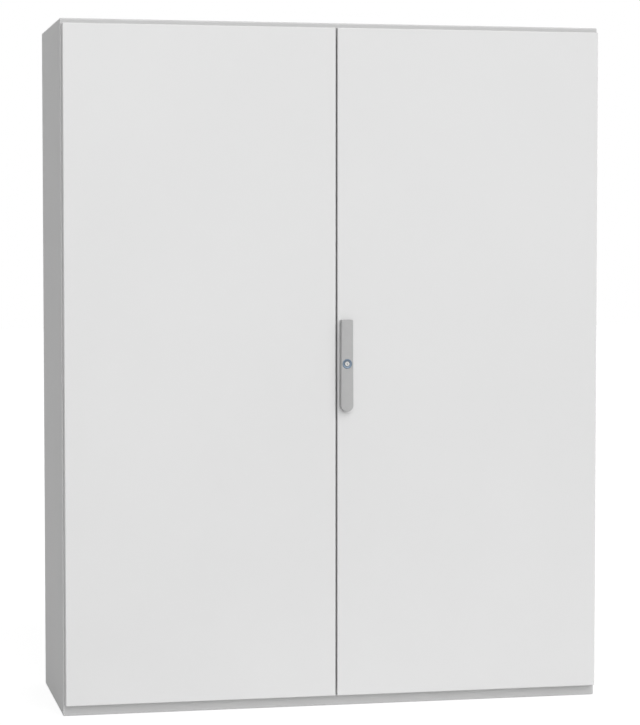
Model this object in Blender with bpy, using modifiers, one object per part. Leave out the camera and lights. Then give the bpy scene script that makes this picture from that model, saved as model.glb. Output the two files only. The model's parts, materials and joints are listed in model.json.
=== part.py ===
"""Two-door floor-standing switchboard cabinet, 1600 wide and 2000 high.

Metres, +Z up, front towards -Y, +X to the right. The origin is the middle of the
object's floor area. Depths inside a door are counted from its front face inwards.
"""
from math import acos, cos, hypot, pi, radians, sin, sqrt, tan

import bmesh
import bpy
from mathutils import Matrix, Vector

# Overall sizes
BODY_WIDTH = 1.600
BODY_HEIGHT = 2.000
BODY_DEPTH = 0.525
SHEET = 0.002
FOLD_INSIDE = 0.0015
GAP = 0.0003

# Body folds: the flange faces the doors, the lip stands forward from its inner edge
FLANGE_SIDE = 0.042
FLANGE_TOP = 0.042
FLANGE_BOTTOM = 0.068
REAR_FLANGE = 0.030
FLOOR_MARGIN_SIDE = 0.045
FLOOR_MARGIN_END = 0.060

# Doors
DOOR_RETURN = 0.025
DOOR_STAND_OFF = 0.002
DOOR_INSET_SIDE = 0.0055
DOOR_INSET_TOP = 0.015
DOOR_INSET_BOTTOM = 0.033
DOOR_GAP = 0.005
DOOR_FOLD_INSIDE = 0.0005

# Stiffening frame and seal on each door
SEAL_WIDTH = 0.0064
SEAL_DEPTH = 0.0054
FRAME_WIDTH = 0.020
FRAME_DEPTH = 0.015
FRAME_SHEET = 0.0015
FRAME_TO_SIDE_LIP = 0.0065
FRAME_TO_END_LIP = 0.009

# Removable centre post
POST_WEB_SETBACK = 0.018

# Hinges
HINGE_FROM_DOOR_END = 0.217
PIN_RADIUS = 0.002
KNUCKLE_WALL = 0.0013
KNUCKLE_CLEARANCE = 0.0004
KNUCKLE_HEIGHT = 0.020
LEAF_PLATE = 0.003
LEAF_TO_SEAL = 0.0033
LEAF_SETBACK = 0.001
ARM_THICKNESS = 0.004
ARM_HALF_WIDTH = 0.0021
ARM_CLEARANCE = 0.0012
# Bends of the arm: share of the radius in which the door's return swings, degrees to the skin
ARM_BENDS = ((0.49, 31), (0.94, 30), (1.05, 26), (1.28, 14), (1.33, 0))
BRACKET_PLATE = 0.003
BRACKET_PLATE_HEIGHT = 0.040
BRACKET_PLATE_NEAR = 0.011
BRACKET_TO_LIP = 0.004

# Panels closing the body
REAR_PANEL_INSET = 0.004
GLAND_PLATE = 0.002
GLAND_COUNT = 3
GLAND_LAP = 0.018
GLAND_JOINT = 0.004

# Mounting plate and what carries it
PLATE_THICKNESS = 0.003
PLATE_SIDE_GAP = 0.0485
PLATE_BOTTOM = 0.066
PLATE_TOP_GAP = 0.048
PLATE_SETBACK = 0.040
PLATE_FOLD = 0.012
PLATE_FOLD_START = 0.110
BRACKET_SHEET = 0.003
BRACKET_HEIGHT = 0.060
BRACKET_FOOT = 0.050
BRACKET_OVERLAP = 0.034
BRACKET_FROM_PLATE_END = 0.050
BOLT_RADIUS = 0.003
BOLT_HEAD_RADIUS = 0.00565
BOLT_SOCKET_RADIUS = 0.0023
BOLT_SOCKET_DEPTH = 0.0018
BOLT_TAIL = 0.012

# Threaded bosses for the lifting eyes, and the set screws that close them
PLUG_RADIUS = 0.006
PLUG_LENGTH = 0.010
PLUG_SOCKET_RADIUS = 0.0035
PLUG_SOCKET_DEPTH = 0.005
BOSS_RADIUS = 0.0105
BOSS_HEIGHT = 0.012
PLUG_FROM_SIDE = 0.060
PLUG_FROM_EDGE = 0.060

# How far a flush screw lies below the face around it
FLUSH_SINK = 0.0002

# Bars, keepers and guides of the door bolts
BOLT_LINE = 0.0245
BAR_WIDTH = 0.012
BAR_THICKNESS = 0.004
BAR_DEPTH = 0.0115
KEEPER_PLATE = 0.003
KEEPER_EDGE = 0.008
KEEPER_LEG = 0.028
KEEPER_SETBACK = 0.0005
KEEPER_CLEARANCE = 0.001
EDGE_CLEARANCE = 0.001
TIP_GAP = 0.0005
GUIDE_SIDE_WALL = 0.006
GUIDE_BACK_WALL = 0.0035
GUIDE_HEIGHT = 0.022
GUIDE_FROM_TIP = 0.120
SHOOT_BOLT_LENGTH = 0.150
SHOOT_GUIDE_HEIGHT = 0.060
SHOOT_GUIDE_FROM_TIP = 0.045
FINGER_TAB_REACH = 0.012

# Lock: pinion between two racks
MODULE = 0.0015
TEETH = 10
PRESSURE_ANGLE = radians(20)
ADDENDUM = 0.0008
DEDENDUM = 0.0012
BACKLASH = 0.0004
RACK_STRIP = 0.0037
RACK_GAPS_BEHIND = 2
RACK_GAPS_AHEAD = 4
BAR_LEAD = 0.003
BRIDGE_HEIGHT = 0.010
SQUARE = 0.007
JOURNAL_STEP = 0.0001
JOURNAL_REACH = 0.0023
CASE_HALF_HEIGHT = 0.031
CASE_WALL = 0.002
STUD_RADIUS = 0.003
STUD_X = 0.0095
STUD_Z = 0.025
SHAFT_HOLE_RADIUS = 0.007

# Swing handle
HANDLE_TOP = 1.138
HANDLE_LENGTH = 0.268
HANDLE_PROUD = 0.022
HANDLE_HALF_WIDTH_TOP = 0.0177
HANDLE_HALF_WIDTH_END = 0.0188
HANDLE_CORNER = 0.004
HANDLE_EDGE = 0.0018
HANDLE_WALL = 0.0025
BASE_THICKNESS = 0.004
SPINDLE_FROM_TOP = 0.024
LEVER_PIN_ABOVE_SPINDLE = 0.012
LEVER_PIN_RADIUS = 0.002
LEVER_PIN_FROM_FACE = 0.0065
HUB_HALF_WIDTH = 0.008
HUB_RADIUS = 0.009
HUB_HEIGHT = 0.007
LUG_RADIUS = 0.0037
LIFT_ANGLE = radians(25)
LOCK_FROM_TOP = 0.128
INSERT_RADIUS = 0.0079
RECESS_RADIUS = 0.0144
RECESS_DEPTH = 0.0008
KEYWAY_WIDTH = 0.0012
KEYWAY_LENGTH = 0.0056
KEYWAY_DEPTH = 0.004
CAM_LENGTH = 0.0125
CAM_WIDTH = 0.007
CAM_THICKNESS = 0.002

# Sizes and places that follow from those above
FOLD_RADIUS = SHEET + FOLD_INSIDE
DOOR_FOLD = SHEET + DOOR_FOLD_INSIDE
TOTAL_DEPTH = HANDLE_PROUD + DOOR_RETURN + DOOR_STAND_OFF + BODY_DEPTH + GAP + SHEET
DOOR_FACE_Y = HANDLE_PROUD - TOTAL_DEPTH / 2
BODY_FACE_Y = DOOR_FACE_Y + DOOR_RETURN + DOOR_STAND_OFF
BODY_REAR_Y = BODY_FACE_Y + BODY_DEPTH
HALF_WIDTH = BODY_WIDTH / 2
DOOR_TOP = BODY_HEIGHT - DOOR_INSET_TOP
DOOR_BOTTOM = DOOR_INSET_BOTTOM
HINGE_EDGE = HALF_WIDTH - DOOR_INSET_SIDE
KNUCKLE_RADIUS = PIN_RADIUS + GAP + KNUCKLE_WALL
HINGE_FROM_EDGE = SHEET + KNUCKLE_CLEARANCE + KNUCKLE_RADIUS
FREE_EDGE = DOOR_GAP / 2
LINER_DEPTH = SHEET + GAP
LIP_TIP_DEPTH = LINER_DEPTH + SEAL_DEPTH + GAP
LIP_REACH = DOOR_RETURN + DOOR_STAND_OFF - LIP_TIP_DEPTH
POST_LIP_CENTRE = FREE_EDGE + SHEET + GAP + SEAL_WIDTH / 2
LIP_TOP = BODY_HEIGHT - FLANGE_TOP - SHEET
LIP_BOTTOM = FLANGE_BOTTOM + SHEET
KEEPER_TOP_FACE = LIP_TOP - GAP - KEEPER_PLATE
KEEPER_BOTTOM_FACE = LIP_BOTTOM + GAP + KEEPER_PLATE
KEEPER_FRONT = LIP_TIP_DEPTH + KEEPER_SETBACK
BAR_X = FREE_EDGE + BOLT_LINE
KEEPER_HALF_WIDTH = BAR_X + BAR_WIDTH / 2 + KEEPER_CLEARANCE + KEEPER_EDGE
GUIDE_WIDTH = BAR_WIDTH + 2 * GUIDE_SIDE_WALL
GUIDE_BACK = BAR_DEPTH + BAR_THICKNESS + GUIDE_BACK_WALL
SPINDLE_Z = HANDLE_TOP - SPINDLE_FROM_TOP
LOCK_HEIGHT = HANDLE_TOP - LOCK_FROM_TOP
PITCH_RADIUS = MODULE * TEETH / 2
TOOTH_PITCH = pi * MODULE
RACK_BACK = PITCH_RADIUS + DEDENDUM + RACK_STRIP
BAR_START = round(RACK_GAPS_AHEAD * TOOTH_PITCH + BAR_LEAD, 3)
JOURNAL_RADIUS = PITCH_RADIUS - DEDENDUM - JOURNAL_STEP
PLATE_FRONT_Y = BODY_REAR_Y - PLATE_SETBACK - PLATE_THICKNESS
PLATE_HALF_WIDTH = HALF_WIDTH - SHEET - PLATE_SIDE_GAP
PLATE_TOP = BODY_HEIGHT - SHEET - PLATE_TOP_GAP
BRACKET_TAB_Y = PLATE_FRONT_Y + PLATE_THICKNESS + GAP
SIDES = {"left": -1, "right": 1}

# Colour, roughness and metallic value of each finish
FINISHES = {
    "cabinet_paint": ((0.62, 0.62, 0.62), 0.55, 0.0),
    "zinc": ((0.60, 0.61, 0.62), 0.40, 1.0),
    "steel": ((0.50, 0.50, 0.51), 0.35, 1.0),
    "seal": ((0.06, 0.06, 0.06), 0.80, 0.0),
    "handle_grey": ((0.42, 0.42, 0.43), 0.50, 0.0),
    "plug_grey": ((0.35, 0.35, 0.35), 0.60, 0.0),
    "nickel": ((0.70, 0.70, 0.71), 0.25, 1.0),
}


# ---------------------------------------------------------------- scene helpers

def clear_scene():
    for item in list(bpy.data.objects):
        bpy.data.objects.remove(item, do_unlink=True)


def new_collection(name):
    collection = bpy.data.collections.new(name)
    bpy.context.scene.collection.children.link(collection)
    return collection


def finish_material(name, finish):
    colour, roughness, metallic = FINISHES[finish]
    material = bpy.data.materials.new(name)
    material.use_nodes = True
    shader = material.node_tree.nodes["Principled BSDF"]
    shader.inputs["Base Color"].default_value = (*colour, 1.0)
    shader.inputs["Roughness"].default_value = roughness
    shader.inputs["Metallic"].default_value = metallic
    return material


def hang(item, carrier):
    """Parent an object that is still in cabinet coordinates to an axis."""
    bpy.context.view_layer.update()
    item.location -= carrier.matrix_world.translation
    item.parent = carrier


def add_axis(name, place, carrier=None):
    """An empty on a joint's axis; the pieces that move with the joint hang on it."""
    axis = bpy.data.objects.new(name, None)
    axis.location = place
    axis.empty_display_size = 0.03
    CABINET.objects.link(axis)
    if carrier is not None:
        hang(axis, carrier)
    return axis


def add_piece(name, bm, finish, carrier=None):
    """Turn a bmesh in cabinet coordinates into a named object with its own material."""
    corners = [vert.co for vert in bm.verts]
    low = Vector([min(corner[i] for corner in corners) for i in range(3)])
    high = Vector([max(corner[i] for corner in corners) for i in range(3)])
    middle = (low + high) / 2
    bmesh.ops.translate(bm, verts=bm.verts, vec=-middle)
    mesh = bpy.data.meshes.new(name)
    bm.to_mesh(mesh)
    bm.free()
    mesh.materials.append(finish_material(name, finish))
    piece = bpy.data.objects.new(name, mesh)
    CABINET.objects.link(piece)
    piece.location = middle
    if carrier is not None:
        hang(piece, carrier)
    return piece


def smooth(piece, angle=radians(35)):
    piece.data.shade_smooth()
    piece.data.set_sharp_from_angle(angle=angle)


def add_tool(name, bm):
    """A solid that only serves to cut or join another piece."""
    mesh = bpy.data.meshes.new(name)
    bm.to_mesh(mesh)
    bm.free()
    tool = bpy.data.objects.new(name, mesh)
    tool.hide_render = True
    tool.display_type = "WIRE"
    TOOLS.objects.link(tool)
    return tool


def combine(piece, bm, operation, label):
    modifier = piece.modifiers.new(label, "BOOLEAN")
    modifier.operation = operation
    modifier.solver = "EXACT"
    modifier.object = add_tool(f"{piece.name}_{label}", bm)


def cut(piece, bm, label):
    combine(piece, bm, "DIFFERENCE", label)


def join(piece, bm, label):
    combine(piece, bm, "UNION", label)


def thicken(piece, thickness):
    """Give an open surface its sheet thickness, inwards from its outer face."""
    modifier = piece.modifiers.new("sheet", "SOLIDIFY")
    modifier.thickness = thickness
    modifier.offset = -1
    modifier.use_even_offset = True


def round_folds(piece, radius, segments=2):
    modifier = piece.modifiers.new("folds", "BEVEL")
    modifier.width = radius
    modifier.segments = segments
    modifier.limit_method = "ANGLE"
    modifier.angle_limit = radians(40)


# ---------------------------------------------------------------- shape helpers

def add_block(bm, low, high):
    """A box between two opposite corners, given in any order."""
    size = [abs(b - a) for a, b in zip(low, high)]
    middle = [(a + b) / 2 for a, b in zip(low, high)]
    matrix = Matrix.Translation(middle) @ Matrix.Diagonal((*size, 1))
    return bmesh.ops.create_cube(bm, size=1, matrix=matrix)["verts"]


def add_round(bm, radius, start, end, sides=16, end_radius=None):
    """A round bar or cone between two points; six sides make a hexagon."""
    start = Vector(start)
    axis = Vector(end) - start
    turned = axis.to_track_quat("Z", "Y").to_matrix().to_4x4()
    matrix = Matrix.Translation(start + axis / 2) @ turned
    bmesh.ops.create_cone(bm, cap_ends=True, segments=sides, radius1=radius,
                          radius2=radius if end_radius is None else end_radius,
                          depth=axis.length, matrix=matrix)


def add_countersunk(bm, head, shank, face, end):
    """A 90 degree cone that narrows to a shank, from a face's centre back along +Y."""
    before = set(bm.faces)
    neck = Vector(face) + Vector((0, head - shank, 0))
    add_round(bm, head, face, neck, end_radius=shank)
    bm.normal_update()
    cap = [item for item in bm.faces if item not in before and item.normal.y > 0.9]
    grown = bmesh.ops.extrude_face_region(bm, geom=cap)["geom"]
    for item in grown:
        if isinstance(item, bmesh.types.BMVert):
            item.co.y = end
    bmesh.ops.delete(bm, geom=cap, context="FACES_ONLY")


def block(low, high):
    bm = bmesh.new()
    add_block(bm, low, high)
    return bm


def round_bar(radius, start, end, sides=16):
    bm = bmesh.new()
    add_round(bm, radius, start, end, sides)
    return bm


def drop_faces(bm, normal):
    """Open a box on the side that a direction points to."""
    bm.normal_update()
    doomed = [face for face in bm.faces if face.normal.dot(Vector(normal)) > 0.9]
    bmesh.ops.delete(bm, geom=doomed, context="FACES")


def grow_edge(bm, edges, move):
    """Extrude an open edge and move its new points; gives the new open edge back."""
    made = bmesh.ops.extrude_edge_only(bm, edges=edges)["geom"]
    points = [item for item in made if isinstance(item, bmesh.types.BMVert)]
    for point in points:
        point.co = Vector(move(point.co.copy()))
    fresh = set(points)
    return [edge for edge in bm.edges if edge.is_boundary and set(edge.verts) <= fresh]


def face_outwards(bm):
    """Make an open shell's faces point away from its middle."""
    bmesh.ops.recalc_face_normals(bm, faces=bm.faces)
    bm.normal_update()
    middle = sum((vert.co for vert in bm.verts), Vector()) / len(bm.verts)
    largest = max(bm.faces, key=lambda face: face.calc_area())
    if largest.normal.dot(largest.calc_center_median() - middle) < 0:
        bmesh.ops.reverse_faces(bm, faces=bm.faces)


def flat_outline(outlines, low, high, upright=True):
    """A flat piece from an outline, with holes, and its two faces' places.

    The outline lies in the XZ plane, with its faces at two depths in Y, or, if it isn't
    upright, in the XY plane at two heights.
    """
    curve = bpy.data.curves.new("outline", "CURVE")
    curve.dimensions = "2D"
    curve.fill_mode = "BOTH"
    curve.extrude = (high - low) / 2
    for outline in outlines:
        spline = curve.splines.new("POLY")
        spline.points.add(len(outline) - 1)
        spline.use_cyclic_u = True
        for point, (x, z) in zip(spline.points, outline):
            point.co = (x, z, 0, 1)
    holder = bpy.data.objects.new("outline", curve)
    TOOLS.objects.link(holder)
    middle = (low + high) / 2
    holder.rotation_euler = (pi / 2 if upright else 0, 0, 0)
    holder.location = (0, middle, 0) if upright else (0, 0, middle)
    bpy.context.view_layer.update()
    evaluated = holder.evaluated_get(bpy.context.evaluated_depsgraph_get())
    mesh = bpy.data.meshes.new_from_object(evaluated)
    bm = bmesh.new()
    bm.from_mesh(mesh)
    bm.transform(holder.matrix_world)
    bmesh.ops.remove_doubles(bm, verts=bm.verts, dist=0.00001)
    bmesh.ops.dissolve_limit(bm, angle_limit=radians(1), verts=bm.verts, edges=bm.edges)
    bmesh.ops.recalc_face_normals(bm, faces=bm.faces)
    bpy.data.objects.remove(holder)
    bpy.data.curves.remove(curve)
    bpy.data.meshes.remove(mesh)
    return bm


def arc(centre, radius, start, end, steps):
    """Points on an arc, by angles in degrees."""
    angles = [radians(start + (end - start) * i / steps) for i in range(steps + 1)]
    return [(centre[0] + radius * cos(a), centre[1] + radius * sin(a)) for a in angles]


def strip_outline(path, half_width):
    """Both sides of a bent strip of even width, from its centre line."""
    sides = ([], [])
    for index, point in enumerate(path):
        arriving = Vector(point) - Vector(path[max(index - 1, 0)])
        leaving = Vector(path[min(index + 1, len(path) - 1)]) - Vector(point)
        along = (arriving if index else leaving).normalized()
        mean = (arriving.normalized() + leaving.normalized()).normalized()
        across = Vector((-mean.y, mean.x))
        reach = half_width / across.dot(Vector((-along.y, along.x)))
        for side, sign in zip(sides, (1, -1)):
            side.append(tuple(Vector(point) + sign * reach * across))
    return sides[0] + sides[1][::-1]


def flat_ring(low, high, width, depth_low, depth_high):
    """A rectangular ring in the XZ plane, given by its outer corners."""
    outer = [(low[0], low[1]), (high[0], low[1]), (high[0], high[1]), (low[0], high[1])]
    inner = [(low[0] + width, low[1] + width), (low[0] + width, high[1] - width),
             (high[0] - width, high[1] - width), (high[0] - width, low[1] + width)]
    return flat_outline([outer, inner], depth_low, depth_high)


def door_y(depth):
    return DOOR_FACE_Y + depth


# ---------------------------------------------------------------- body

def build_body_shell():
    bm = block((-HALF_WIDTH, BODY_FACE_Y, 0), (HALF_WIDTH, BODY_REAR_Y, BODY_HEIGHT))
    drop_faces(bm, (0, -1, 0))
    drop_faces(bm, (0, 1, 0))
    front = [e for e in bm.edges if all(v.co.y < BODY_FACE_Y + SHEET for v in e.verts)]
    rear = [e for e in bm.edges if all(v.co.y > BODY_REAR_Y - SHEET for v in e.verts)]

    def to_opening(point):
        x = (HALF_WIDTH - FLANGE_SIDE) * (1 if point.x > 0 else -1)
        z = FLANGE_BOTTOM if point.z < BODY_HEIGHT / 2 else BODY_HEIGHT - FLANGE_TOP
        return x, point.y, z

    def to_rear_opening(point):
        x = (HALF_WIDTH - REAR_FLANGE) * (1 if point.x > 0 else -1)
        z = REAR_FLANGE if point.z < BODY_HEIGHT / 2 else BODY_HEIGHT - REAR_FLANGE
        return x, point.y, z

    opening = grow_edge(bm, front, to_opening)
    grow_edge(bm, opening, lambda point: point - Vector((0, LIP_REACH, 0)))
    grow_edge(bm, rear, to_rear_opening)
    face_outwards(bm)
    shell = add_piece("body_shell", bm, "cabinet_paint")
    round_folds(shell, FOLD_RADIUS)
    thicken(shell, SHEET)
    join(shell, lifting_bosses(), "lifting_bosses")
    cut(shell, body_openings(), "openings")


def lifting_bosses():
    bm = bmesh.new()
    for x, y in plug_places():
        add_round(bm, BOSS_RADIUS, (x, y, BODY_HEIGHT - SHEET - BOSS_HEIGHT),
                  (x, y, BODY_HEIGHT - SHEET / 2))
    return bm


def body_openings():
    """Cable opening in the floor, lifting-eye holes, and the bolts' ways through the lips."""
    bm = bmesh.new()
    add_block(bm, (-HALF_WIDTH + FLOOR_MARGIN_SIDE, BODY_FACE_Y + FLOOR_MARGIN_END, -SHEET),
              (HALF_WIDTH - FLOOR_MARGIN_SIDE, BODY_REAR_Y - FLOOR_MARGIN_END, 2 * SHEET))
    for x, y in plug_places():
        add_round(bm, PLUG_RADIUS + GAP, (x, y, BODY_HEIGHT - 2 * BOSS_HEIGHT),
                  (x, y, BODY_HEIGHT + SHEET))
    for low, high in ((LIP_BOTTOM - 2 * SHEET, LIP_BOTTOM + SHEET),
                      (LIP_TOP - SHEET, LIP_TOP + 2 * SHEET)):
        add_bolt_ways(bm, low, high)
    return bm


def add_bolt_ways(bm, low, high):
    """A slot for the bolt of each door, and a notch for the doors' free edges."""
    half = BAR_WIDTH / 2 + KEEPER_CLEARANCE
    for x in (-BAR_X, BAR_X):
        add_block(bm, (x - half, door_y(BAR_DEPTH - KEEPER_CLEARANCE), low),
                  (x + half, door_y(BAR_DEPTH + BAR_THICKNESS + KEEPER_CLEARANCE), high))
    reach = POST_LIP_CENTRE - SHEET / 2
    add_block(bm, (-reach, door_y(LIP_TIP_DEPTH - SHEET), low),
              (reach, door_y(DOOR_RETURN + EDGE_CLEARANCE), high))


def plug_places():
    x = HALF_WIDTH - PLUG_FROM_SIDE
    rows = (BODY_FACE_Y + PLUG_FROM_EDGE, BODY_REAR_Y - PLUG_FROM_EDGE)
    return [(side * x, y) for side in (-1, 1) for y in rows]


def build_rear_panel():
    low = (-HALF_WIDTH + REAR_PANEL_INSET, BODY_REAR_Y + GAP, REAR_PANEL_INSET)
    high = (HALF_WIDTH - REAR_PANEL_INSET, BODY_REAR_Y + GAP + SHEET,
            BODY_HEIGHT - REAR_PANEL_INSET)
    add_piece("rear_panel", block(low, high), "cabinet_paint")


def build_centre_post():
    """A channel open to the front; a door's seal presses on each of its two lips."""
    half = POST_LIP_CENTRE + SHEET / 2
    tip = door_y(LIP_TIP_DEPTH)
    web = BODY_FACE_Y + POST_WEB_SETBACK
    low_z = KEEPER_BOTTOM_FACE + GAP
    high_z = KEEPER_TOP_FACE - GAP
    bm = block((-half, tip, low_z), (half, web, high_z))
    for direction in ((0, -1, 0), (0, 0, 1), (0, 0, -1)):
        drop_faces(bm, direction)
    face_outwards(bm)
    post = add_piece("centre_post", bm, "cabinet_paint")
    thicken(post, SHEET)


def build_keepers():
    """Angles under the top lip and on the bottom lip; the bolts shoot through them."""
    front = door_y(KEEPER_FRONT)
    leg_front = BODY_FACE_Y + SHEET + GAP
    rear = leg_front + KEEPER_PLATE
    places = {"top": (KEEPER_TOP_FACE, 1), "bottom": (KEEPER_BOTTOM_FACE, -1)}
    for name, (face, towards) in places.items():
        back = face + towards * KEEPER_PLATE
        bm = block((-KEEPER_HALF_WIDTH, front, face), (KEEPER_HALF_WIDTH, rear, back))
        keeper = add_piece(f"keeper_{name}", bm, "zinc")
        leg = block((-KEEPER_HALF_WIDTH, leg_front, face),
                    (KEEPER_HALF_WIDTH, rear, back + towards * KEEPER_LEG))
        join(keeper, leg, "leg")
        ways = bmesh.new()
        low, high = sorted((face - towards * KEEPER_PLATE, back + towards * KEEPER_PLATE))
        add_bolt_ways(ways, low, high)
        cut(keeper, ways, "ways")


def build_gland_plates():
    low_y = BODY_FACE_Y + FLOOR_MARGIN_END - GLAND_LAP
    high_y = BODY_REAR_Y - FLOOR_MARGIN_END + GLAND_LAP
    reach = HALF_WIDTH - FLOOR_MARGIN_SIDE + GLAND_LAP
    low_z = SHEET + GAP
    step = 2 * reach / GLAND_COUNT
    for index, name in enumerate(("left", "centre", "right")):
        start = -reach + index * step
        bm = block((start + GLAND_JOINT / 2, low_y, low_z),
                   (start + step - GLAND_JOINT / 2, high_y, low_z + GLAND_PLATE))
        add_piece(f"gland_plate_{name}", bm, "zinc")


def build_roof_plugs():
    """Set screws with a hexagon socket, flush with the roof."""
    names = ("front_left", "rear_left", "front_right", "rear_right")
    top = BODY_HEIGHT - FLUSH_SINK
    for name, (x, y) in zip(names, plug_places()):
        bm = round_bar(PLUG_RADIUS, (x, y, top - PLUG_LENGTH), (x, y, top))
        plug = add_piece(f"roof_plug_{name}", bm, "steel")
        socket = round_bar(PLUG_SOCKET_RADIUS, (x, y, top - PLUG_SOCKET_DEPTH),
                           (x, y, top + SHEET), sides=6)
        cut(plug, socket, "socket")
        smooth(plug)


# ---------------------------------------------------------------- mounting plate

def plate_bolt_places():
    x = PLATE_HALF_WIDTH - BRACKET_OVERLAP / 2 - PLATE_THICKNESS
    rows = {"bottom": PLATE_BOTTOM + BRACKET_FROM_PLATE_END,
            "top": PLATE_TOP - BRACKET_FROM_PLATE_END}
    return {f"{row}_{side}": (sign * x, z)
            for row, z in rows.items() for side, sign in SIDES.items()}


def build_mounting_plate():
    """A steel sheet whose side edges are folded back between the brackets."""
    back = PLATE_FRONT_Y + PLATE_THICKNESS
    bm = block((-PLATE_HALF_WIDTH, PLATE_FRONT_Y, PLATE_BOTTOM), (PLATE_HALF_WIDTH, back, PLATE_TOP))
    plate = add_piece("mounting_plate", bm, "zinc")
    folds = bmesh.new()
    for side in SIDES.values():
        add_block(folds, (side * PLATE_HALF_WIDTH, PLATE_FRONT_Y, PLATE_BOTTOM + PLATE_FOLD_START),
                  (side * (PLATE_HALF_WIDTH - PLATE_THICKNESS), back + PLATE_FOLD,
                   PLATE_TOP - PLATE_FOLD_START))
    join(plate, folds, "folds")
    holes = bmesh.new()
    mouth = BOLT_HEAD_RADIUS + GAP + FLUSH_SINK + SHEET
    for x, z in plate_bolt_places().values():
        add_countersunk(holes, mouth, BOLT_RADIUS + GAP, (x, PLATE_FRONT_Y - SHEET, z), BRACKET_TAB_Y)
    cut(plate, holes, "bolt_holes")


def build_plate_brackets():
    """Angles on the side walls, with a tab behind each corner of the mounting plate."""
    wall = HALF_WIDTH - SHEET - GAP
    for name, (x, z) in plate_bolt_places().items():
        side = 1 if x > 0 else -1
        low_z = z - BRACKET_HEIGHT / 2
        high_z = z + BRACKET_HEIGHT / 2
        tab_back = BRACKET_TAB_Y + BRACKET_SHEET
        foot = block((side * wall, tab_back - BRACKET_FOOT, low_z),
                     (side * (wall - BRACKET_SHEET), tab_back, high_z))
        bracket = add_piece(f"plate_bracket_{name}", foot, "zinc")
        tab = block((side * wall, BRACKET_TAB_Y, low_z),
                    (side * (PLATE_HALF_WIDTH - BRACKET_OVERLAP), tab_back, high_z))
        join(bracket, tab, "tab")
        hole = round_bar(BOLT_RADIUS + GAP, (x, BRACKET_TAB_Y - SHEET, z),
                         (x, tab_back + SHEET, z))
        cut(bracket, hole, "bolt_hole")


def build_plate_bolts():
    """Countersunk screws, so that the plate's face stays flat over its whole area."""
    face = PLATE_FRONT_Y + FLUSH_SINK
    end = BRACKET_TAB_Y + BRACKET_SHEET + BOLT_TAIL
    for name, (x, z) in plate_bolt_places().items():
        bm = bmesh.new()
        add_countersunk(bm, BOLT_HEAD_RADIUS, BOLT_RADIUS, (x, face, z), end)
        bolt = add_piece(f"plate_bolt_{name}", bm, "steel")
        socket = round_bar(BOLT_SOCKET_RADIUS, (x, face - SHEET, z),
                           (x, face + BOLT_SOCKET_DEPTH, z), sides=6)
        cut(bolt, socket, "socket")
        smooth(bolt)


# ---------------------------------------------------------------- hinges

def hinge_pivot_depth():
    """Depth of the pin, to a tenth of a millimetre, at which the arms just clear the skin.

    The arms dip towards the skin by a share of the radius in which the return swings, so
    the depth solves (depth - nearest)^2 = share^2 * (from_edge^2 + (return - depth)^2).
    """
    nearest = SHEET + ARM_HALF_WIDTH + ARM_CLEARANCE
    dip = max(share * sin(radians(degrees)) for share, degrees in ARM_BENDS) ** 2
    a = 1 - dip
    b = dip * DOOR_RETURN - nearest
    c = nearest ** 2 - dip * (HINGE_FROM_EDGE ** 2 + DOOR_RETURN ** 2)
    return round((sqrt(b * b - a * c) - b) / a, 4)


def hinge_places(side):
    x = SIDES[side] * (HINGE_EDGE - HINGE_FROM_EDGE)
    lower = DOOR_BOTTOM + HINGE_FROM_DOOR_END
    upper = DOOR_TOP - HINGE_FROM_DOOR_END
    heights = {"lower": lower, "middle": (lower + upper) / 2, "upper": upper}
    return {name: (x, door_y(hinge_pivot_depth()), z) for name, z in heights.items()}


def arm_path(x, y, inboard, end):
    """Centre line of an arm that passes round the door's return at every opening angle."""
    path = [(x, y)]
    return_swing = hypot(HINGE_FROM_EDGE, DOOR_RETURN - hinge_pivot_depth())
    for share, degrees in ARM_BENDS:
        reach = share * return_swing
        path.append((x + inboard * reach * cos(radians(degrees)), y - reach * sin(radians(degrees))))
    path.append((path[-1][0], end))
    return path


def build_hinge_brackets(side):
    """A plate on the body's flange with two bent arms that hold the pin."""
    inboard = -SIDES[side]
    back = BODY_FACE_Y - GAP
    front = back - BRACKET_PLATE
    far = SIDES[side] * (HALF_WIDTH - FLANGE_SIDE + BRACKET_TO_LIP)
    for name, (x, y, z) in hinge_places(side).items():
        plate = block((x + inboard * BRACKET_PLATE_NEAR, front, z - BRACKET_PLATE_HEIGHT / 2),
                      (far, back, z + BRACKET_PLATE_HEIGHT / 2))
        bracket = add_piece(f"hinge_bracket_{side}_{name}", plate, "cabinet_paint")
        arm = strip_outline(arm_path(x, y, inboard, front + BRACKET_PLATE / 2), ARM_HALF_WIDTH)
        for label, towards in (("upper_arm", 1), ("lower_arm", -1)):
            start = z + towards * (KNUCKLE_HEIGHT / 2 + GAP)
            end = start + towards * ARM_THICKNESS
            low, high = sorted((start, end))
            join(bracket, flat_outline([arm], low, high, upright=False), label)
            join(bracket, round_bar(KNUCKLE_RADIUS, (x, y, start), (x, y, end)), f"{label}_eye")
        reach = KNUCKLE_HEIGHT / 2 + ARM_THICKNESS + SHEET
        bore = round_bar(PIN_RADIUS + GAP, (x, y, z - reach), (x, y, z + reach))
        cut(bracket, bore, "bore")


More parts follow.
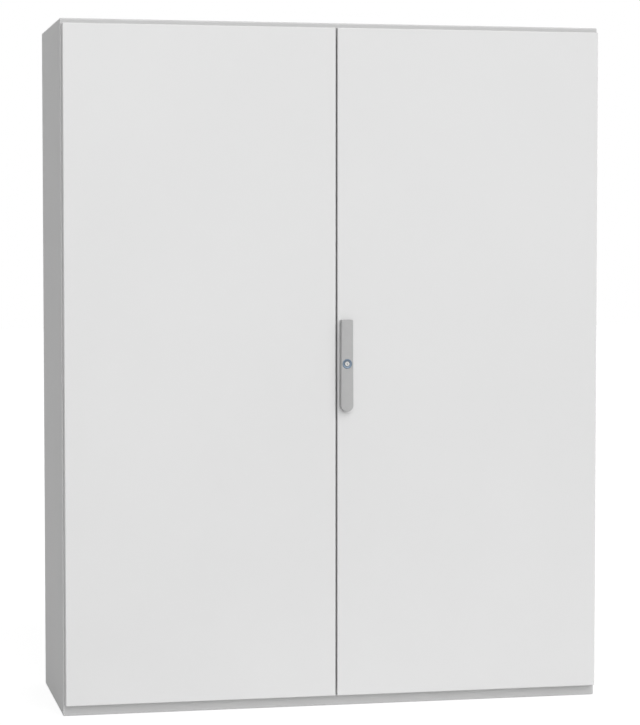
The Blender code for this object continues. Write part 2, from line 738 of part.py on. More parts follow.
def build_hinge_leaves(side, door_axis):
    """The door's half of each hinge: a plate on the skin, a web and a knuckle."""
    outwards = SIDES[side]
    far = outwards * (HALF_WIDTH - FLANGE_SIDE - SHEET / 2 + SEAL_WIDTH / 2 + LEAF_TO_SEAL)
    for name, (x, y, z) in hinge_places(side).items():
        near = x + outwards * LEAF_SETBACK
        front = door_y(LINER_DEPTH)
        low_z = z - KNUCKLE_HEIGHT / 2
        high_z = z + KNUCKLE_HEIGHT / 2
        plate = block((near, front, low_z), (far, front + LEAF_PLATE, high_z))
        leaf = add_piece(f"hinge_leaf_{side}_{name}", plate, "cabinet_paint", door_axis)
        web = block((near, front + LEAF_PLATE / 2, low_z + SHEET),
                    (x - outwards * KNUCKLE_RADIUS, y, high_z - SHEET))
        join(leaf, web, "web")
        join(leaf, round_bar(KNUCKLE_RADIUS, (x, y, low_z), (x, y, high_z)), "knuckle")
        bore = round_bar(PIN_RADIUS + GAP, (x, y, low_z - SHEET), (x, y, high_z + SHEET))
        cut(leaf, bore, "bore")


def build_hinge_pins(side):
    reach = KNUCKLE_HEIGHT / 2 + GAP + ARM_THICKNESS + SHEET / 2
    for name, (x, y, z) in hinge_places(side).items():
        bm = round_bar(PIN_RADIUS, (x, y, z - reach), (x, y, z + reach))
        smooth(add_piece(f"hinge_pin_{side}_{name}", bm, "steel"))


# ---------------------------------------------------------------- doors

def build_door_panel(side, door_axis):
    """A skin with a return all round."""
    sign = SIDES[side]
    bm = block((sign * FREE_EDGE, DOOR_FACE_Y, DOOR_BOTTOM),
               (sign * HINGE_EDGE, door_y(DOOR_RETURN), DOOR_TOP))
    drop_faces(bm, (0, 1, 0))
    face_outwards(bm)
    panel = add_piece(f"{side}_door_panel", bm, "cabinet_paint", door_axis)
    round_folds(panel, DOOR_FOLD)
    thicken(panel, SHEET)
    return panel


def seal_corners(side):
    """Outer corners of a door's seal, which is centred on the lips that it presses on."""
    sign = SIDES[side]
    half = SEAL_WIDTH / 2
    free = POST_LIP_CENTRE - half
    hinge = HALF_WIDTH - FLANGE_SIDE - SHEET / 2 + half
    low_z = LIP_BOTTOM - SHEET / 2 - half
    high_z = LIP_TOP + SHEET / 2 + half
    low_x, high_x = sorted((sign * free, sign * hinge))
    return (low_x, low_z), (high_x, high_z)


def build_door_gasket(side, door_axis):
    low, high = seal_corners(side)
    bm = flat_ring(low, high, SEAL_WIDTH, door_y(LINER_DEPTH), door_y(LINER_DEPTH + SEAL_DEPTH))
    add_piece(f"{side}_door_gasket", bm, "seal", door_axis)


def frame_corners(side):
    """The stiffening frame lies inside the lips and clear of the keepers."""
    free = KEEPER_HALF_WIDTH + FRAME_TO_SIDE_LIP
    hinge = HALF_WIDTH - FLANGE_SIDE - SHEET - FRAME_TO_SIDE_LIP
    low_x, high_x = sorted((SIDES[side] * free, SIDES[side] * hinge))
    return (low_x, LIP_BOTTOM + FRAME_TO_END_LIP), (high_x, LIP_TOP - FRAME_TO_END_LIP)


def build_door_frame(side, door_axis):
    """A channel ring, open towards the skin, that stiffens the door."""
    (low_x, low_z), (high_x, high_z) = frame_corners(side)
    face = door_y(LINER_DEPTH + FRAME_DEPTH)
    bm = block((low_x, door_y(LINER_DEPTH), low_z), (high_x, face, high_z))
    drop_faces(bm, (0, -1, 0))
    bm.normal_update()
    back = [item for item in bm.faces if item.normal.y > 0.9]
    bmesh.ops.inset_region(bm, faces=back, thickness=FRAME_WIDTH)
    edges = list(back[0].edges)
    bmesh.ops.delete(bm, geom=back, context="FACES_ONLY")
    grow_edge(bm, edges, lambda point: point - Vector((0, FRAME_DEPTH, 0)))
    face_outwards(bm)
    frame = add_piece(f"{side}_door_frame", bm, "zinc", door_axis)
    thicken(frame, FRAME_SHEET)


# ---------------------------------------------------------------- shoot bolts of the left door

def build_shoot_bolt(name, door_axis, tip, towards):
    """A hand bolt in a block guide; towards is +1 for up and -1 for down."""
    x = -BAR_X
    front = door_y(BAR_DEPTH)
    back = front + BAR_THICKNESS
    guide_near = tip - towards * SHOOT_GUIDE_FROM_TIP
    guide_far = guide_near - towards * SHOOT_GUIDE_HEIGHT
    block_guide(f"left_bolt_guide_{name}", door_axis, x, guide_near, guide_far)
    end = tip - towards * SHOOT_BOLT_LENGTH
    axis = add_axis(f"left_bolt_{name}_axis", (x, (front + back) / 2, end), door_axis)
    bar = block((x - BAR_WIDTH / 2, front, end), (x + BAR_WIDTH / 2, back, tip))
    bolt = add_piece(f"left_bolt_{name}", bar, "zinc", axis)
    tab = block((x - BAR_WIDTH / 2, front, end),
                (x + BAR_WIDTH / 2, back + FINGER_TAB_REACH, end + towards * BAR_THICKNESS))
    join(bolt, tab, "finger_tab")


def block_guide(name, door_axis, x, near, far):
    """A moulded block on the door skin with a way through it for a flat bar."""
    bm = block((x - GUIDE_WIDTH / 2, door_y(LINER_DEPTH), min(near, far)),
               (x + GUIDE_WIDTH / 2, door_y(GUIDE_BACK), max(near, far)))
    guide = add_piece(name, bm, "plug_grey", door_axis)
    way = block((x - BAR_WIDTH / 2 - GAP, door_y(BAR_DEPTH - GAP), min(near, far) - SHEET),
                (x + BAR_WIDTH / 2 + GAP, door_y(BAR_DEPTH + BAR_THICKNESS + GAP),
                 max(near, far) + SHEET))
    cut(guide, way, "way")


# ---------------------------------------------------------------- lock of the right door

def involute_angle(radius, base):
    """Roll-off angle of an involute at a radius."""
    pressure = acos(min(1.0, base / radius))
    return tan(pressure) - pressure


def pinion_outline(centre_x, centre_z):
    """Stub involute teeth; one tooth points along +X."""
    base = PITCH_RADIUS * cos(PRESSURE_ANGLE)
    root = PITCH_RADIUS - DEDENDUM
    tip = PITCH_RADIUS + ADDENDUM
    half_at_pitch = (TOOTH_PITCH - BACKLASH) / 4 / PITCH_RADIUS
    half_at_base = half_at_pitch + involute_angle(PITCH_RADIUS, base)
    flank = [(root, half_at_base)]
    steps = 3
    for i in range(steps + 1):
        radius = base + (tip - base) * i / steps
        flank.append((radius, half_at_base - involute_angle(radius, base)))
    points = []
    for tooth in range(TEETH):
        middle = 2 * pi * tooth / TEETH
        rising = [(radius, middle - half) for radius, half in flank]
        falling = [(radius, middle + half) for radius, half in reversed(flank)]
        points += rising + falling
    return [(centre_x + r * cos(a), centre_z + r * sin(a)) for r, a in points]


def square_outline(centre_x, centre_z, side):
    half = side / 2
    return [(centre_x - half, centre_z - half), (centre_x + half, centre_z - half),
            (centre_x + half, centre_z + half), (centre_x - half, centre_z + half)]


def build_lock_pinion(hub_axis):
    low = door_y(BAR_DEPTH)
    high = low + BAR_THICKNESS
    bm = flat_outline([pinion_outline(BAR_X, SPINDLE_Z)], low, high)
    pinion = add_piece("lock_pinion", bm, "steel", hub_axis)
    reach = GAP + JOURNAL_REACH
    journals = round_bar(JOURNAL_RADIUS, (BAR_X, low - reach, SPINDLE_Z),
                         (BAR_X, high + reach, SPINDLE_Z))
    join(pinion, journals, "journals")
    half = SQUARE / 2 + GAP
    hole = block((BAR_X - half, low - 2 * reach, SPINDLE_Z - half),
                 (BAR_X + half, high + 2 * reach, SPINDLE_Z + half))
    cut(pinion, hole, "square_hole")


def rack_edge(first, last):
    """Toothed side of a rack as (distance from the spindle, height) pairs, bottom to top."""
    root = PITCH_RADIUS + DEDENDUM
    tip = PITCH_RADIUS - ADDENDUM
    slope = tan(PRESSURE_ANGLE)
    half_at_pitch = (TOOTH_PITCH - BACKLASH) / 4
    half_at_tip = half_at_pitch - ADDENDUM * slope
    half_at_root = half_at_pitch + DEDENDUM * slope
    points = []
    for index in range(first, last):
        middle = (index + 0.5) * TOOTH_PITCH
        points += [(root, middle - half_at_root), (tip, middle - half_at_tip),
                   (tip, middle + half_at_tip), (root, middle + half_at_root)]
    return points


def build_rod(name, door_axis, side, length):
    """A flat bar with a rack leg beside the pinion.

    The outline is drawn for the upper rod, whose rack is left of the spindle, with the
    spindle at (0, 0). The lower rod is the same turned half round.
    """
    low = -RACK_GAPS_BEHIND * TOOTH_PITCH
    teeth = [(-x, z) for x, z in rack_edge(-RACK_GAPS_BEHIND, RACK_GAPS_AHEAD)]
    root = PITCH_RADIUS + DEDENDUM
    outline = [(-RACK_BACK, low), (-root, low)] + teeth
    outline += [(-root, BAR_START), (BAR_WIDTH / 2, BAR_START), (BAR_WIDTH / 2, length),
                (-BAR_WIDTH / 2, length), (-BAR_WIDTH / 2, BAR_START + BRIDGE_HEIGHT),
                (-RACK_BACK, BAR_START + BRIDGE_HEIGHT)]
    placed = [(BAR_X + side * x, SPINDLE_Z + side * z) for x, z in outline]
    front = door_y(BAR_DEPTH)
    axis = add_axis(f"{name}_axis", (BAR_X, front + BAR_THICKNESS / 2, SPINDLE_Z), door_axis)
    add_piece(name, flat_outline([placed], front, front + BAR_THICKNESS), "zinc", axis)


def build_lock_case(door_axis):
    """A flat tube around the racks, on four studs that stand on the door skin."""
    inner = RACK_BACK + GAP
    outer = inner + CASE_WALL
    way_low = door_y(BAR_DEPTH - GAP)
    way_high = door_y(BAR_DEPTH + BAR_THICKNESS + GAP)
    low_z = SPINDLE_Z - CASE_HALF_HEIGHT
    high_z = SPINDLE_Z + CASE_HALF_HEIGHT
    bm = block((BAR_X - outer, way_low - CASE_WALL, low_z),
               (BAR_X + outer, way_high + CASE_WALL, high_z))
    case = add_piece("lock_case", bm, "zinc", door_axis)
    studs = bmesh.new()
    for x in (-STUD_X, STUD_X):
        for z in (-STUD_Z, STUD_Z):
            add_round(studs, STUD_RADIUS, (BAR_X + x, door_y(LINER_DEPTH), SPINDLE_Z + z),
                      (BAR_X + x, way_low - CASE_WALL / 2, SPINDLE_Z + z))
    join(case, studs, "studs")
    way = block((BAR_X - inner, way_low, low_z - SHEET), (BAR_X + inner, way_high, high_z + SHEET))
    cut(case, way, "way")
    bore = round_bar(JOURNAL_RADIUS + GAP, (BAR_X, way_low - 2 * CASE_WALL, SPINDLE_Z),
                     (BAR_X, way_high + 2 * CASE_WALL, SPINDLE_Z))
    cut(case, bore, "bore")


# ---------------------------------------------------------------- swing handle

def handle_outline(shrink=0.0):
    """Flat top with small corners, sides that widen a little, and a round lower end."""
    top = HANDLE_TOP - shrink
    half_top = HANDLE_HALF_WIDTH_TOP - shrink
    half_end = HANDLE_HALF_WIDTH_END - shrink
    corner = HANDLE_CORNER
    end_z = HANDLE_TOP - HANDLE_LENGTH + HANDLE_HALF_WIDTH_END
    right = arc((BAR_X + half_top - corner, top - corner), corner, 0, 90, 4)
    left = arc((BAR_X - half_top + corner, top - corner), corner, 90, 180, 4)
    lower = arc((BAR_X, end_z), half_end, 180, 360, 16)
    return right + left + lower


def lever_pin_place():
    return door_y(-HANDLE_PROUD + LEVER_PIN_FROM_FACE), SPINDLE_Z + LEVER_PIN_ABOVE_SPINDLE


def build_handle_base(door_axis):
    bm = flat_outline([handle_outline()], door_y(-BASE_THICKNESS), door_y(-GAP))
    base = add_piece("handle_base", bm, "handle_grey", door_axis)
    cut(base, shaft_hole(), "shaft_hole")


def shaft_hole():
    return round_bar(SHAFT_HOLE_RADIUS, (BAR_X, door_y(-2 * BASE_THICKNESS), SPINDLE_Z),
                     (BAR_X, door_y(2 * SHEET), SPINDLE_Z))


def build_handle_spindle(hub_axis):
    """A square shaft with a round hub and a lug that carries the lever's pin."""
    half = SQUARE / 2
    seat = door_y(-BASE_THICKNESS - GAP)
    inner_end = door_y(BAR_DEPTH + BAR_THICKNESS + GAP + JOURNAL_REACH)
    shaft = block((BAR_X - half, seat - SHEET, SPINDLE_Z - half),
                  (BAR_X + half, inner_end, SPINDLE_Z + half))
    spindle = add_piece("handle_spindle", shaft, "steel", hub_axis)
    hub = round_bar(HUB_RADIUS, (BAR_X, seat - HUB_HEIGHT, SPINDLE_Z), (BAR_X, seat, SPINDLE_Z))
    join(spindle, hub, "hub")
    pin_y, pin_z = lever_pin_place()
    lug = block((BAR_X - HUB_HALF_WIDTH, pin_y, SPINDLE_Z + HUB_RADIUS / 2),
                (BAR_X + HUB_HALF_WIDTH, seat - GAP, pin_z + LUG_RADIUS))
    join(spindle, lug, "lug")
    ends = ((BAR_X - HUB_HALF_WIDTH, pin_y, pin_z), (BAR_X + HUB_HALF_WIDTH, pin_y, pin_z))
    join(spindle, round_bar(LUG_RADIUS, *ends), "lug_end")
    reach = 2 * HUB_HALF_WIDTH
    bore = round_bar(LEVER_PIN_RADIUS + GAP, (BAR_X - reach, pin_y, pin_z),
                     (BAR_X + reach, pin_y, pin_z))
    cut(spindle, bore, "pin_bore")


def build_handle_lever(lever_axis):
    """A hollow lever, open towards the door, relieved at its top so that it can lift."""
    face = door_y(-HANDLE_PROUD)
    seat = door_y(-BASE_THICKNESS - GAP)
    bm = flat_outline([handle_outline()], face, seat)
    drop_faces(bm, (0, 1, 0))
    face_outwards(bm)
    lever = add_piece("handle_lever", bm, "handle_grey", lever_axis)
    round_folds(lever, HANDLE_EDGE)
    thicken(lever, HANDLE_WALL)
    cut(lever, lift_relief(), "lift_relief")
    pin_y, pin_z = lever_pin_place()
    reach = 2 * HANDLE_HALF_WIDTH_END
    bore = round_bar(LEVER_PIN_RADIUS + GAP, (BAR_X - reach, pin_y, pin_z),
                     (BAR_X + reach, pin_y, pin_z))
    cut(lever, bore, "pin_bore")
    lock = round_bar(INSERT_RADIUS + GAP, (BAR_X, face - SHEET, LOCK_HEIGHT),
                     (BAR_X, face + 2 * HANDLE_WALL, LOCK_HEIGHT))
    cut(lever, lock, "lock_bore")
    recess = round_bar(RECESS_RADIUS, (BAR_X, face - SHEET, LOCK_HEIGHT),
                       (BAR_X, face + RECESS_DEPTH, LOCK_HEIGHT), sides=32)
    cut(lever, recess, "lock_recess")
    smooth(lever, radians(50))


def lift_relief():
    """A wedge behind the lever's top end, hinged at the pin's height."""
    pin_y, pin_z = lever_pin_place()
    seat = door_y(-BASE_THICKNESS - GAP)
    size = HANDLE_LENGTH / 4
    bm = block((BAR_X - size, 0, 0), (BAR_X + size, size, size))
    turned = Matrix.Rotation(LIFT_ANGLE + radians(1), 4, "X")
    start = pin_z + (seat - pin_y) * tan(LIFT_ANGLE / 2)
    bm.transform(Matrix.Translation((0, seat, pin_z)) @ turned)
    bmesh.ops.translate(bm, verts=bm.verts, vec=(0, 0, -(start - pin_z)))
    return bm


def build_lever_pin(lever_axis):
    pin_y, pin_z = lever_pin_place()
    reach = HANDLE_HALF_WIDTH_TOP - GAP
    bm = round_bar(LEVER_PIN_RADIUS, (BAR_X - reach, pin_y, pin_z), (BAR_X + reach, pin_y, pin_z))
    smooth(add_piece("lever_pin", bm, "steel", lever_axis))


def build_lock_insert(insert_axis):
    """A cylinder with a keyway, and a cam behind it that turns inside the lever."""
    face = door_y(-HANDLE_PROUD)
    cam_back = door_y(-BASE_THICKNESS - SHEET)
    bm = round_bar(INSERT_RADIUS, (BAR_X, face, LOCK_HEIGHT),
                   (BAR_X, cam_back - CAM_THICKNESS / 2, LOCK_HEIGHT), sides=32)
    insert = add_piece("lock_insert", bm, "nickel", insert_axis)
    cam = block((BAR_X - CAM_WIDTH / 2, cam_back - CAM_THICKNESS, LOCK_HEIGHT - CAM_LENGTH),
                (BAR_X + CAM_WIDTH / 2, cam_back, LOCK_HEIGHT + CAM_WIDTH / 2))
    join(insert, cam, "cam")
    keyway = block((BAR_X - KEYWAY_WIDTH / 2, face - SHEET, LOCK_HEIGHT - KEYWAY_LENGTH / 2),
                   (BAR_X + KEYWAY_WIDTH / 2, face + KEYWAY_DEPTH, LOCK_HEIGHT + KEYWAY_LENGTH / 2))
    cut(insert, keyway, "keyway")
    smooth(insert)


# ---------------------------------------------------------------- assembly

def build_body():
    build_body_shell()
    build_rear_panel()
    build_centre_post()
    build_keepers()
    build_gland_plates()
    build_roof_plugs()
    build_mounting_plate()
    build_plate_brackets()
    build_plate_bolts()


def build_door(side):
    x, y, _ = hinge_places(side)["middle"]
    axis = add_axis(f"{side}_door_axis", (x, y, BODY_HEIGHT / 2))
    build_hinge_brackets(side)
    build_hinge_pins(side)
    build_hinge_leaves(side, axis)
    panel = build_door_panel(side, axis)
    build_door_frame(side, axis)
    build_door_gasket(side, axis)
    return axis, panel


def build_left_door():
    axis, _ = build_door("left")
    build_shoot_bolt("upper", axis, KEEPER_TOP_FACE - TIP_GAP, 1)
    build_shoot_bolt("lower", axis, KEEPER_BOTTOM_FACE + TIP_GAP, -1)


def build_right_door():
    axis, panel = build_door("right")
    cut(panel, shaft_hole(), "shaft_hole")
    build_handle_base(axis)
    build_lock_case(axis)
    upper_tip = KEEPER_TOP_FACE - TIP_GAP
    lower_tip = KEEPER_BOTTOM_FACE + TIP_GAP
    build_rod("upper_rod", axis, 1, upper_tip - SPINDLE_Z)
    build_rod("lower_rod", axis, -1, SPINDLE_Z - lower_tip)
    for name, tip, towards in (("upper", upper_tip, 1), ("lower", lower_tip, -1)):
        near = tip - towards * GUIDE_FROM_TIP
        block_guide(f"rod_guide_{name}", axis, BAR_X, near, near - towards * GUIDE_HEIGHT)
    hub_axis = add_axis("handle_axis", (BAR_X, DOOR_FACE_Y, SPINDLE_Z), axis)
    build_handle_spindle(hub_axis)
    build_lock_pinion(hub_axis)
    pin_y, pin_z = lever_pin_place()
    lever_axis = add_axis("lever_axis", (BAR_X, pin_y, pin_z), hub_axis)
    build_handle_lever(lever_axis)
    build_lever_pin(lever_axis)
    insert_axis = add_axis("insert_axis", (BAR_X, door_y(-HANDLE_PROUD), LOCK_HEIGHT), lever_axis)
    build_lock_insert(insert_axis)


clear_scene()
CABINET = new_collection("switchboard_cabinet")
TOOLS = new_collection("tools")
build_body()
build_left_door()
build_right_door()
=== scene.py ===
"""Finishes and small fittings of a two-door floor-standing switchboard cabinet in painted sheet steel."""

import json
from math import atan2, copysign, cos, pi, radians, sin, tan, tau

import bmesh
import bpy
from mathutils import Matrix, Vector

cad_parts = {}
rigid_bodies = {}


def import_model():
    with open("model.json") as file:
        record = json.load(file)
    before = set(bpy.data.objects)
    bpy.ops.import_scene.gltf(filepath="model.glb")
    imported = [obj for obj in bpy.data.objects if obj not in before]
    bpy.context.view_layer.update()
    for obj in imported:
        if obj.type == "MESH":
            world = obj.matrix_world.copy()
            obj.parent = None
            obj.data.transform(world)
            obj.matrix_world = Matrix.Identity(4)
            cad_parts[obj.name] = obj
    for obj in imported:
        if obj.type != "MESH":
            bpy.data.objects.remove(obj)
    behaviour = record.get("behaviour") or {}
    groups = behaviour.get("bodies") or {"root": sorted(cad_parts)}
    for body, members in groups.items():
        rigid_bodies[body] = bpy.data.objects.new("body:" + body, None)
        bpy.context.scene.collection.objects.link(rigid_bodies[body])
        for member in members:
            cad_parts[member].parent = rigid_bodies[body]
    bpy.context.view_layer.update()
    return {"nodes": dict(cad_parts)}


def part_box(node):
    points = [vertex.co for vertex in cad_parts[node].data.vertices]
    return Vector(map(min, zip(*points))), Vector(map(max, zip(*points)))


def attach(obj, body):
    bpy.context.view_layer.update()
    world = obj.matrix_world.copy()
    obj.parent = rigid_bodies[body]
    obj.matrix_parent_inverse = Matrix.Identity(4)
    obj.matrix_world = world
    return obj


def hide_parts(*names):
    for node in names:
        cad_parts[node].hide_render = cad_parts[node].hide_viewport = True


# Sizes are in metres. x runs to the right, y to the rear and z up.
SIDES = {"left": -1, "right": 1}
HINGES = ("lower", "middle", "upper")

# Camera and light.
CAMERA_PLACE = (-1.5045, -7.0785, 1.368)
CAMERA_TURN = (radians(90) - 0.0508, 0.0, -0.2104)
LENS_MM = 118.9
CAMERA_REACH = 100.0
WHITE = (1.0, 1.0, 1.0, 1.0)
AMBIENT = 0.285
KEY_FROM = (0.25, -1.0, 0.45)
KEY_STRENGTH = 2.38
REAR_FROM = (0.45, 1.0, 0.60)
REAR_STRENGTH = 0.7
LIGHT_SPREAD = radians(76)
LAMP_DISTANCE = 4.0
FLOOR_REACH = 30.0
FLOOR_BELOW = 0.0005
FLOOR_COLOUR = (0.80, 0.80, 0.80, 1.0)
FLOOR_SHOWN = (0.28, 0.28, 0.28, 1.0)
FLOOR_GLOW = 0.86

# Colours of the finishes. The body's grey is a darker copy of the doors' paint, which paints shade on the
# body; the edge grey is a painted highlight.
CABINET_GREY_WITH_PAINTED_SHADE = (0.548, 0.548, 0.548, 1.0)
DOOR_GREY = (0.720, 0.720, 0.720, 1.0)
# Pale grey blended onto the paints' folds and edges: a painted highlight.
PAINTED_EDGE_HIGHLIGHT = (0.88, 0.88, 0.88, 1.0)
PRIMER_GREY = (0.55, 0.55, 0.55, 1.0)
DUST_GREY = (0.62, 0.60, 0.57, 1.0)
GALVANISED = (0.47, 0.482, 0.492, 1.0)
BRIGHT_ZINC = (0.54, 0.55, 0.555, 1.0)
HANDLE_GREY = (0.405, 0.405, 0.405, 1.0)
HANDLE_RUBBED = (0.50, 0.50, 0.50, 1.0)
GUIDE_GREY = (0.25, 0.25, 0.26, 1.0)
SEAL_BLACK = (0.045, 0.045, 0.047, 1.0)
SATIN_NICKEL = (0.36, 0.357, 0.35, 1.0)
BLUED_RING = (0.120, 0.152, 0.192, 1.0)

# Soft edges, which also set how wide the painted edge highlight is, and shine of the paints, grain of the
# plastics.
CABINET_FOLD, CABINET_SHINE = 0.0034, 0.22
DOOR_FOLD, DOOR_SHINE = 0.0016, 0.42
PAINT_GRAIN = 0.0011
HANDLE_GRAIN = 0.0008
GUIDE_GRAIN = 0.0005

# Clearances and sheets of the cabinet.
SAME_PLACE = 1e-6
HAIR = 0.0001
FIT_GAP = 0.0003
BODY_SHEET = 0.002
BRACKET_SHEET = 0.003

# Screw heads: radius, height, socket radius and socket depth; then their dome, in shares.
PAN_HEAD = (0.0040, 0.0020, 0.0015, 0.0012)
SMALL_PAN = (0.0024, 0.0013, 0.0010, 0.0008)
FLUSH_HEAD = (0.0054, 0.0004, 0.0019, 0.0014)
DOME = ((0.55, 1.0), (0.82, 0.86), (0.96, 0.5), (1.0, 0.0))

# Nuts: radius to the corners and height. Studs: radius and length.
PLATE_NUT = (0.0057, 0.0048)
WALL_NUT = (0.0075, 0.0045)
DOOR_NUT = (0.0057, 0.0035)
CASE_NUT = (0.0032, 0.0022)
WALL_STUD = (0.004, 0.022)
DOOR_STUD = (0.003, 0.014)

# Rear panel and its dimples.
PANEL_CORNER = 0.004
PANEL_SCREW_INSET = 0.012
PANEL_SCREW_COLUMNS = 6
PANEL_SCREW_ROWS = 7
DIMPLE_RADIUS = 0.0062
DIMPLE_FLOOR = 0.0034
DIMPLE_LIP = (0.93, 0.0003)
DIMPLE_SCREW_DROP = 0.0005

# Places of the cabinet's fixings.
GLAND_SCREW_INSET = (0.030, 0.009)
GLAND_SCREW_COLUMNS = 4
HINGE_SCREW_INSET = (0.0065, 0.008)
KEEPER_SCREW_INSET = (0.012, 0.013)
WALL_STUD_AT = (-0.12, 0.12)
WALL_NUTS_AT = (0.004, 0.012)
DOOR_STUD_AT = (0.700, 0.150)
DOOR_NUT_AT = 0.003

# Cover strips of the gland plates.
STRIP_HALF = 0.010
STRIP_SHEET = 0.0012
STRIP_CHAMFER = 0.0003
STRIP_SETBACK = 0.006
STRIP_CORNER = 0.003

# Door channels, seals and fixings.
CHANNEL_SHEET = 0.0015
CHANNEL_WIDTH = 0.020
CHANNEL_FOLD = 0.002
CHANNEL_CORNER = 0.001
CHANNEL_MITRE = 0.0003
HOLE_PITCH = 0.025
ROUND_HOLE = (0.0026, 0.0026)
SLOT_HALF = (0.0062, 0.0042)
ROUND, SQUARED = 1.0, 0.4
SEAL_CORNER = 0.012
SEAL_HALF = 0.0032
SEAL_FOOT = 0.92
SEAL_SHOULDER = 0.25
GUIDE_SCREW_INSET = 0.003
CASE_NUTS_AT = (0.0095, 0.025)

# Swing handle.
LEVER_TOP = 1.138
LEVER_LENGTH = 0.268
LEVER_HALF_TOP = 0.0177
LEVER_HALF_END = 0.0188
LEVER_CORNER = 0.004
LEVER_ROUND = (0.0021, 0.0050)
LEVER_SHOULDER = 0.001
LEVER_WALL = 0.0025
LEVER_RELIEF = radians(26)
LEVER_RELIEF_START = radians(12.5)

# Lock: the seat and hole in the lever, the ring in the seat, and the core in the ring.
LOCK_Z = 1.010
SEAT_RADIUS = 0.0144
SEAT_DEPTH = 0.0008
SEAT_CHAMFER = 0.0003
LOCK_HOLE = 0.0082
RING_BEVEL = 0.0005
RING_FLAT = 0.0016
RING_DISH = 0.0009
CORE_FACE = 0.0067
CORE_DROP = 0.0002
GROOVE_DEPTH = 0.0005
CORE_RIM = (0.0008, 0.0004)
CORE_TAIL = 0.001
KEYWAY = (0.0006, 0.0028, 0.0040)
CAM_HALF = 0.0035
CAM_SHEET = 0.002
CAM_CORNER = 0.0030


# ---------------------------------------------------------------- node building

def add_node(tree, kind, inputs=None, **settings):
    """A node with its settings made and its inputs filled: a socket is linked, a value is set."""
    node = tree.nodes.new(kind)
    for name, value in settings.items():
        setattr(node, name, value)
    for name, value in (inputs or {}).items():
        if isinstance(value, bpy.types.NodeSocket):
            tree.links.new(value, node.inputs[name])
        else:
            node.inputs[name].default_value = value
    return node


def new_group(name, inputs, outputs):
    """A shader node group with named sockets, and its input and output nodes."""
    tree = bpy.data.node_groups.new(name, "ShaderNodeTree")
    kinds = {"value": "NodeSocketFloat", "colour": "NodeSocketColor", "vector": "NodeSocketVector"}
    for label, kind, default in inputs:
        socket = tree.interface.new_socket(label, in_out="INPUT", socket_type=kinds[kind])
        socket.default_value = default
    for label, kind in outputs:
        tree.interface.new_socket(label, in_out="OUTPUT", socket_type=kinds[kind])
    return tree, add_node(tree, "NodeGroupInput").outputs, add_node(tree, "NodeGroupOutput")


def close_group(tree, result, **sockets):
    for label, socket in sockets.items():
        tree.links.new(socket, result.inputs[label.replace("_", " ")])
    return tree


def calculate(tree, operation, a, b=0.0, clamp=False):
    return add_node(tree, "ShaderNodeMath", {0: a, 1: b}, operation=operation, use_clamp=clamp).outputs[0]


def spread(tree, value, low, high, to_low=0.0, to_high=1.0):
    """Maps a range of values to another and stops at its ends."""
    sockets = {"Value": value, "From Min": low, "From Max": high, "To Min": to_low, "To Max": to_high}
    return add_node(tree, "ShaderNodeMapRange", sockets).outputs["Result"]


def noise(tree, scale, detail=2.0, roughness=0.5, vector=None):
    if vector is None:
        vector = add_node(tree, "ShaderNodeTexCoord").outputs["Object"]
    sockets = {"Vector": vector, "Scale": scale, "Detail": detail, "Roughness": roughness}
    return add_node(tree, "ShaderNodeTexNoise", sockets).outputs["Fac"]


def blend_colour(tree, amount, first, second):
    node = add_node(tree, "ShaderNodeMix", data_type="RGBA")
    for index, value in ((0, amount), (6, first), (7, second)):
        if isinstance(value, bpy.types.NodeSocket):
            tree.links.new(value, node.inputs[index])
        else:
            node.inputs[index].default_value = value
    return node.outputs[2]


def scale_colour(tree, colour, factor):
    """The colour made darker or lighter by a factor."""
    node = add_node(tree, "ShaderNodeVectorMath", {0: colour, 1: factor}, operation="MULTIPLY")
    return node.outputs["Vector"]


# ---------------------------------------------------------------- shared effects

def soft_edges_group():
    """Rounds the look of sheet edges, and marks them."""
    tree, given, result = new_group("soft edges", [("Radius", "value", 0.001)],
                                    [("Normal", "vector"), ("Edge", "value")])
    rounded = add_node(tree, "ShaderNodeBevel", {"Radius": given["Radius"]}, samples=6).outputs["Normal"]
    flat = add_node(tree, "ShaderNodeNewGeometry").outputs["True Normal"]
    turned = add_node(tree, "ShaderNodeVectorMath", {0: rounded, 1: flat}, operation="DOT_PRODUCT")
    edge = spread(tree, turned.outputs["Value"], 0.998, 0.95)
    return close_group(tree, result, Normal=rounded, Edge=edge)


def edge_wear_group():
    """Breaks an edge mask up, so that only some stretches are rubbed."""
    tree, given, result = new_group(
        "edge wear", [("Edge", "value", 0.0), ("Patch Scale", "value", 14.0), ("Amount", "value", 0.5)],
        [("Mask", "value")])
    patches = spread(tree, noise(tree, given["Patch Scale"], 4.0, 0.65), 0.48, 0.66)
    fine = spread(tree, noise(tree, 260.0, 3.0, 0.6), 0.35, 0.6)
    worn = calculate(tree, "MULTIPLY", calculate(tree, "MULTIPLY", patches, fine), given["Edge"])
    return close_group(tree, result, Mask=calculate(tree, "MULTIPLY", worn, given["Amount"], clamp=True))


def dust_group():
    """A thin film of dust where a surface faces up."""
    tree, given, result = new_group("settled dust", [("Amount", "value", 0.5)], [("Mask", "value")])
    normal = add_node(tree, "ShaderNodeNewGeometry").outputs["Normal"]
    up = add_node(tree, "ShaderNodeSeparateXYZ", {"Vector": normal}).outputs["Z"]
    film = spread(tree, noise(tree, 9.0, 5.0, 0.6), 0.30, 0.75, 0.25, 1.0)
    mask = calculate(tree, "MULTIPLY", spread(tree, up, 0.55, 0.95), film)
    return close_group(tree, result, Mask=calculate(tree, "MULTIPLY", mask, given["Amount"], clamp=True))


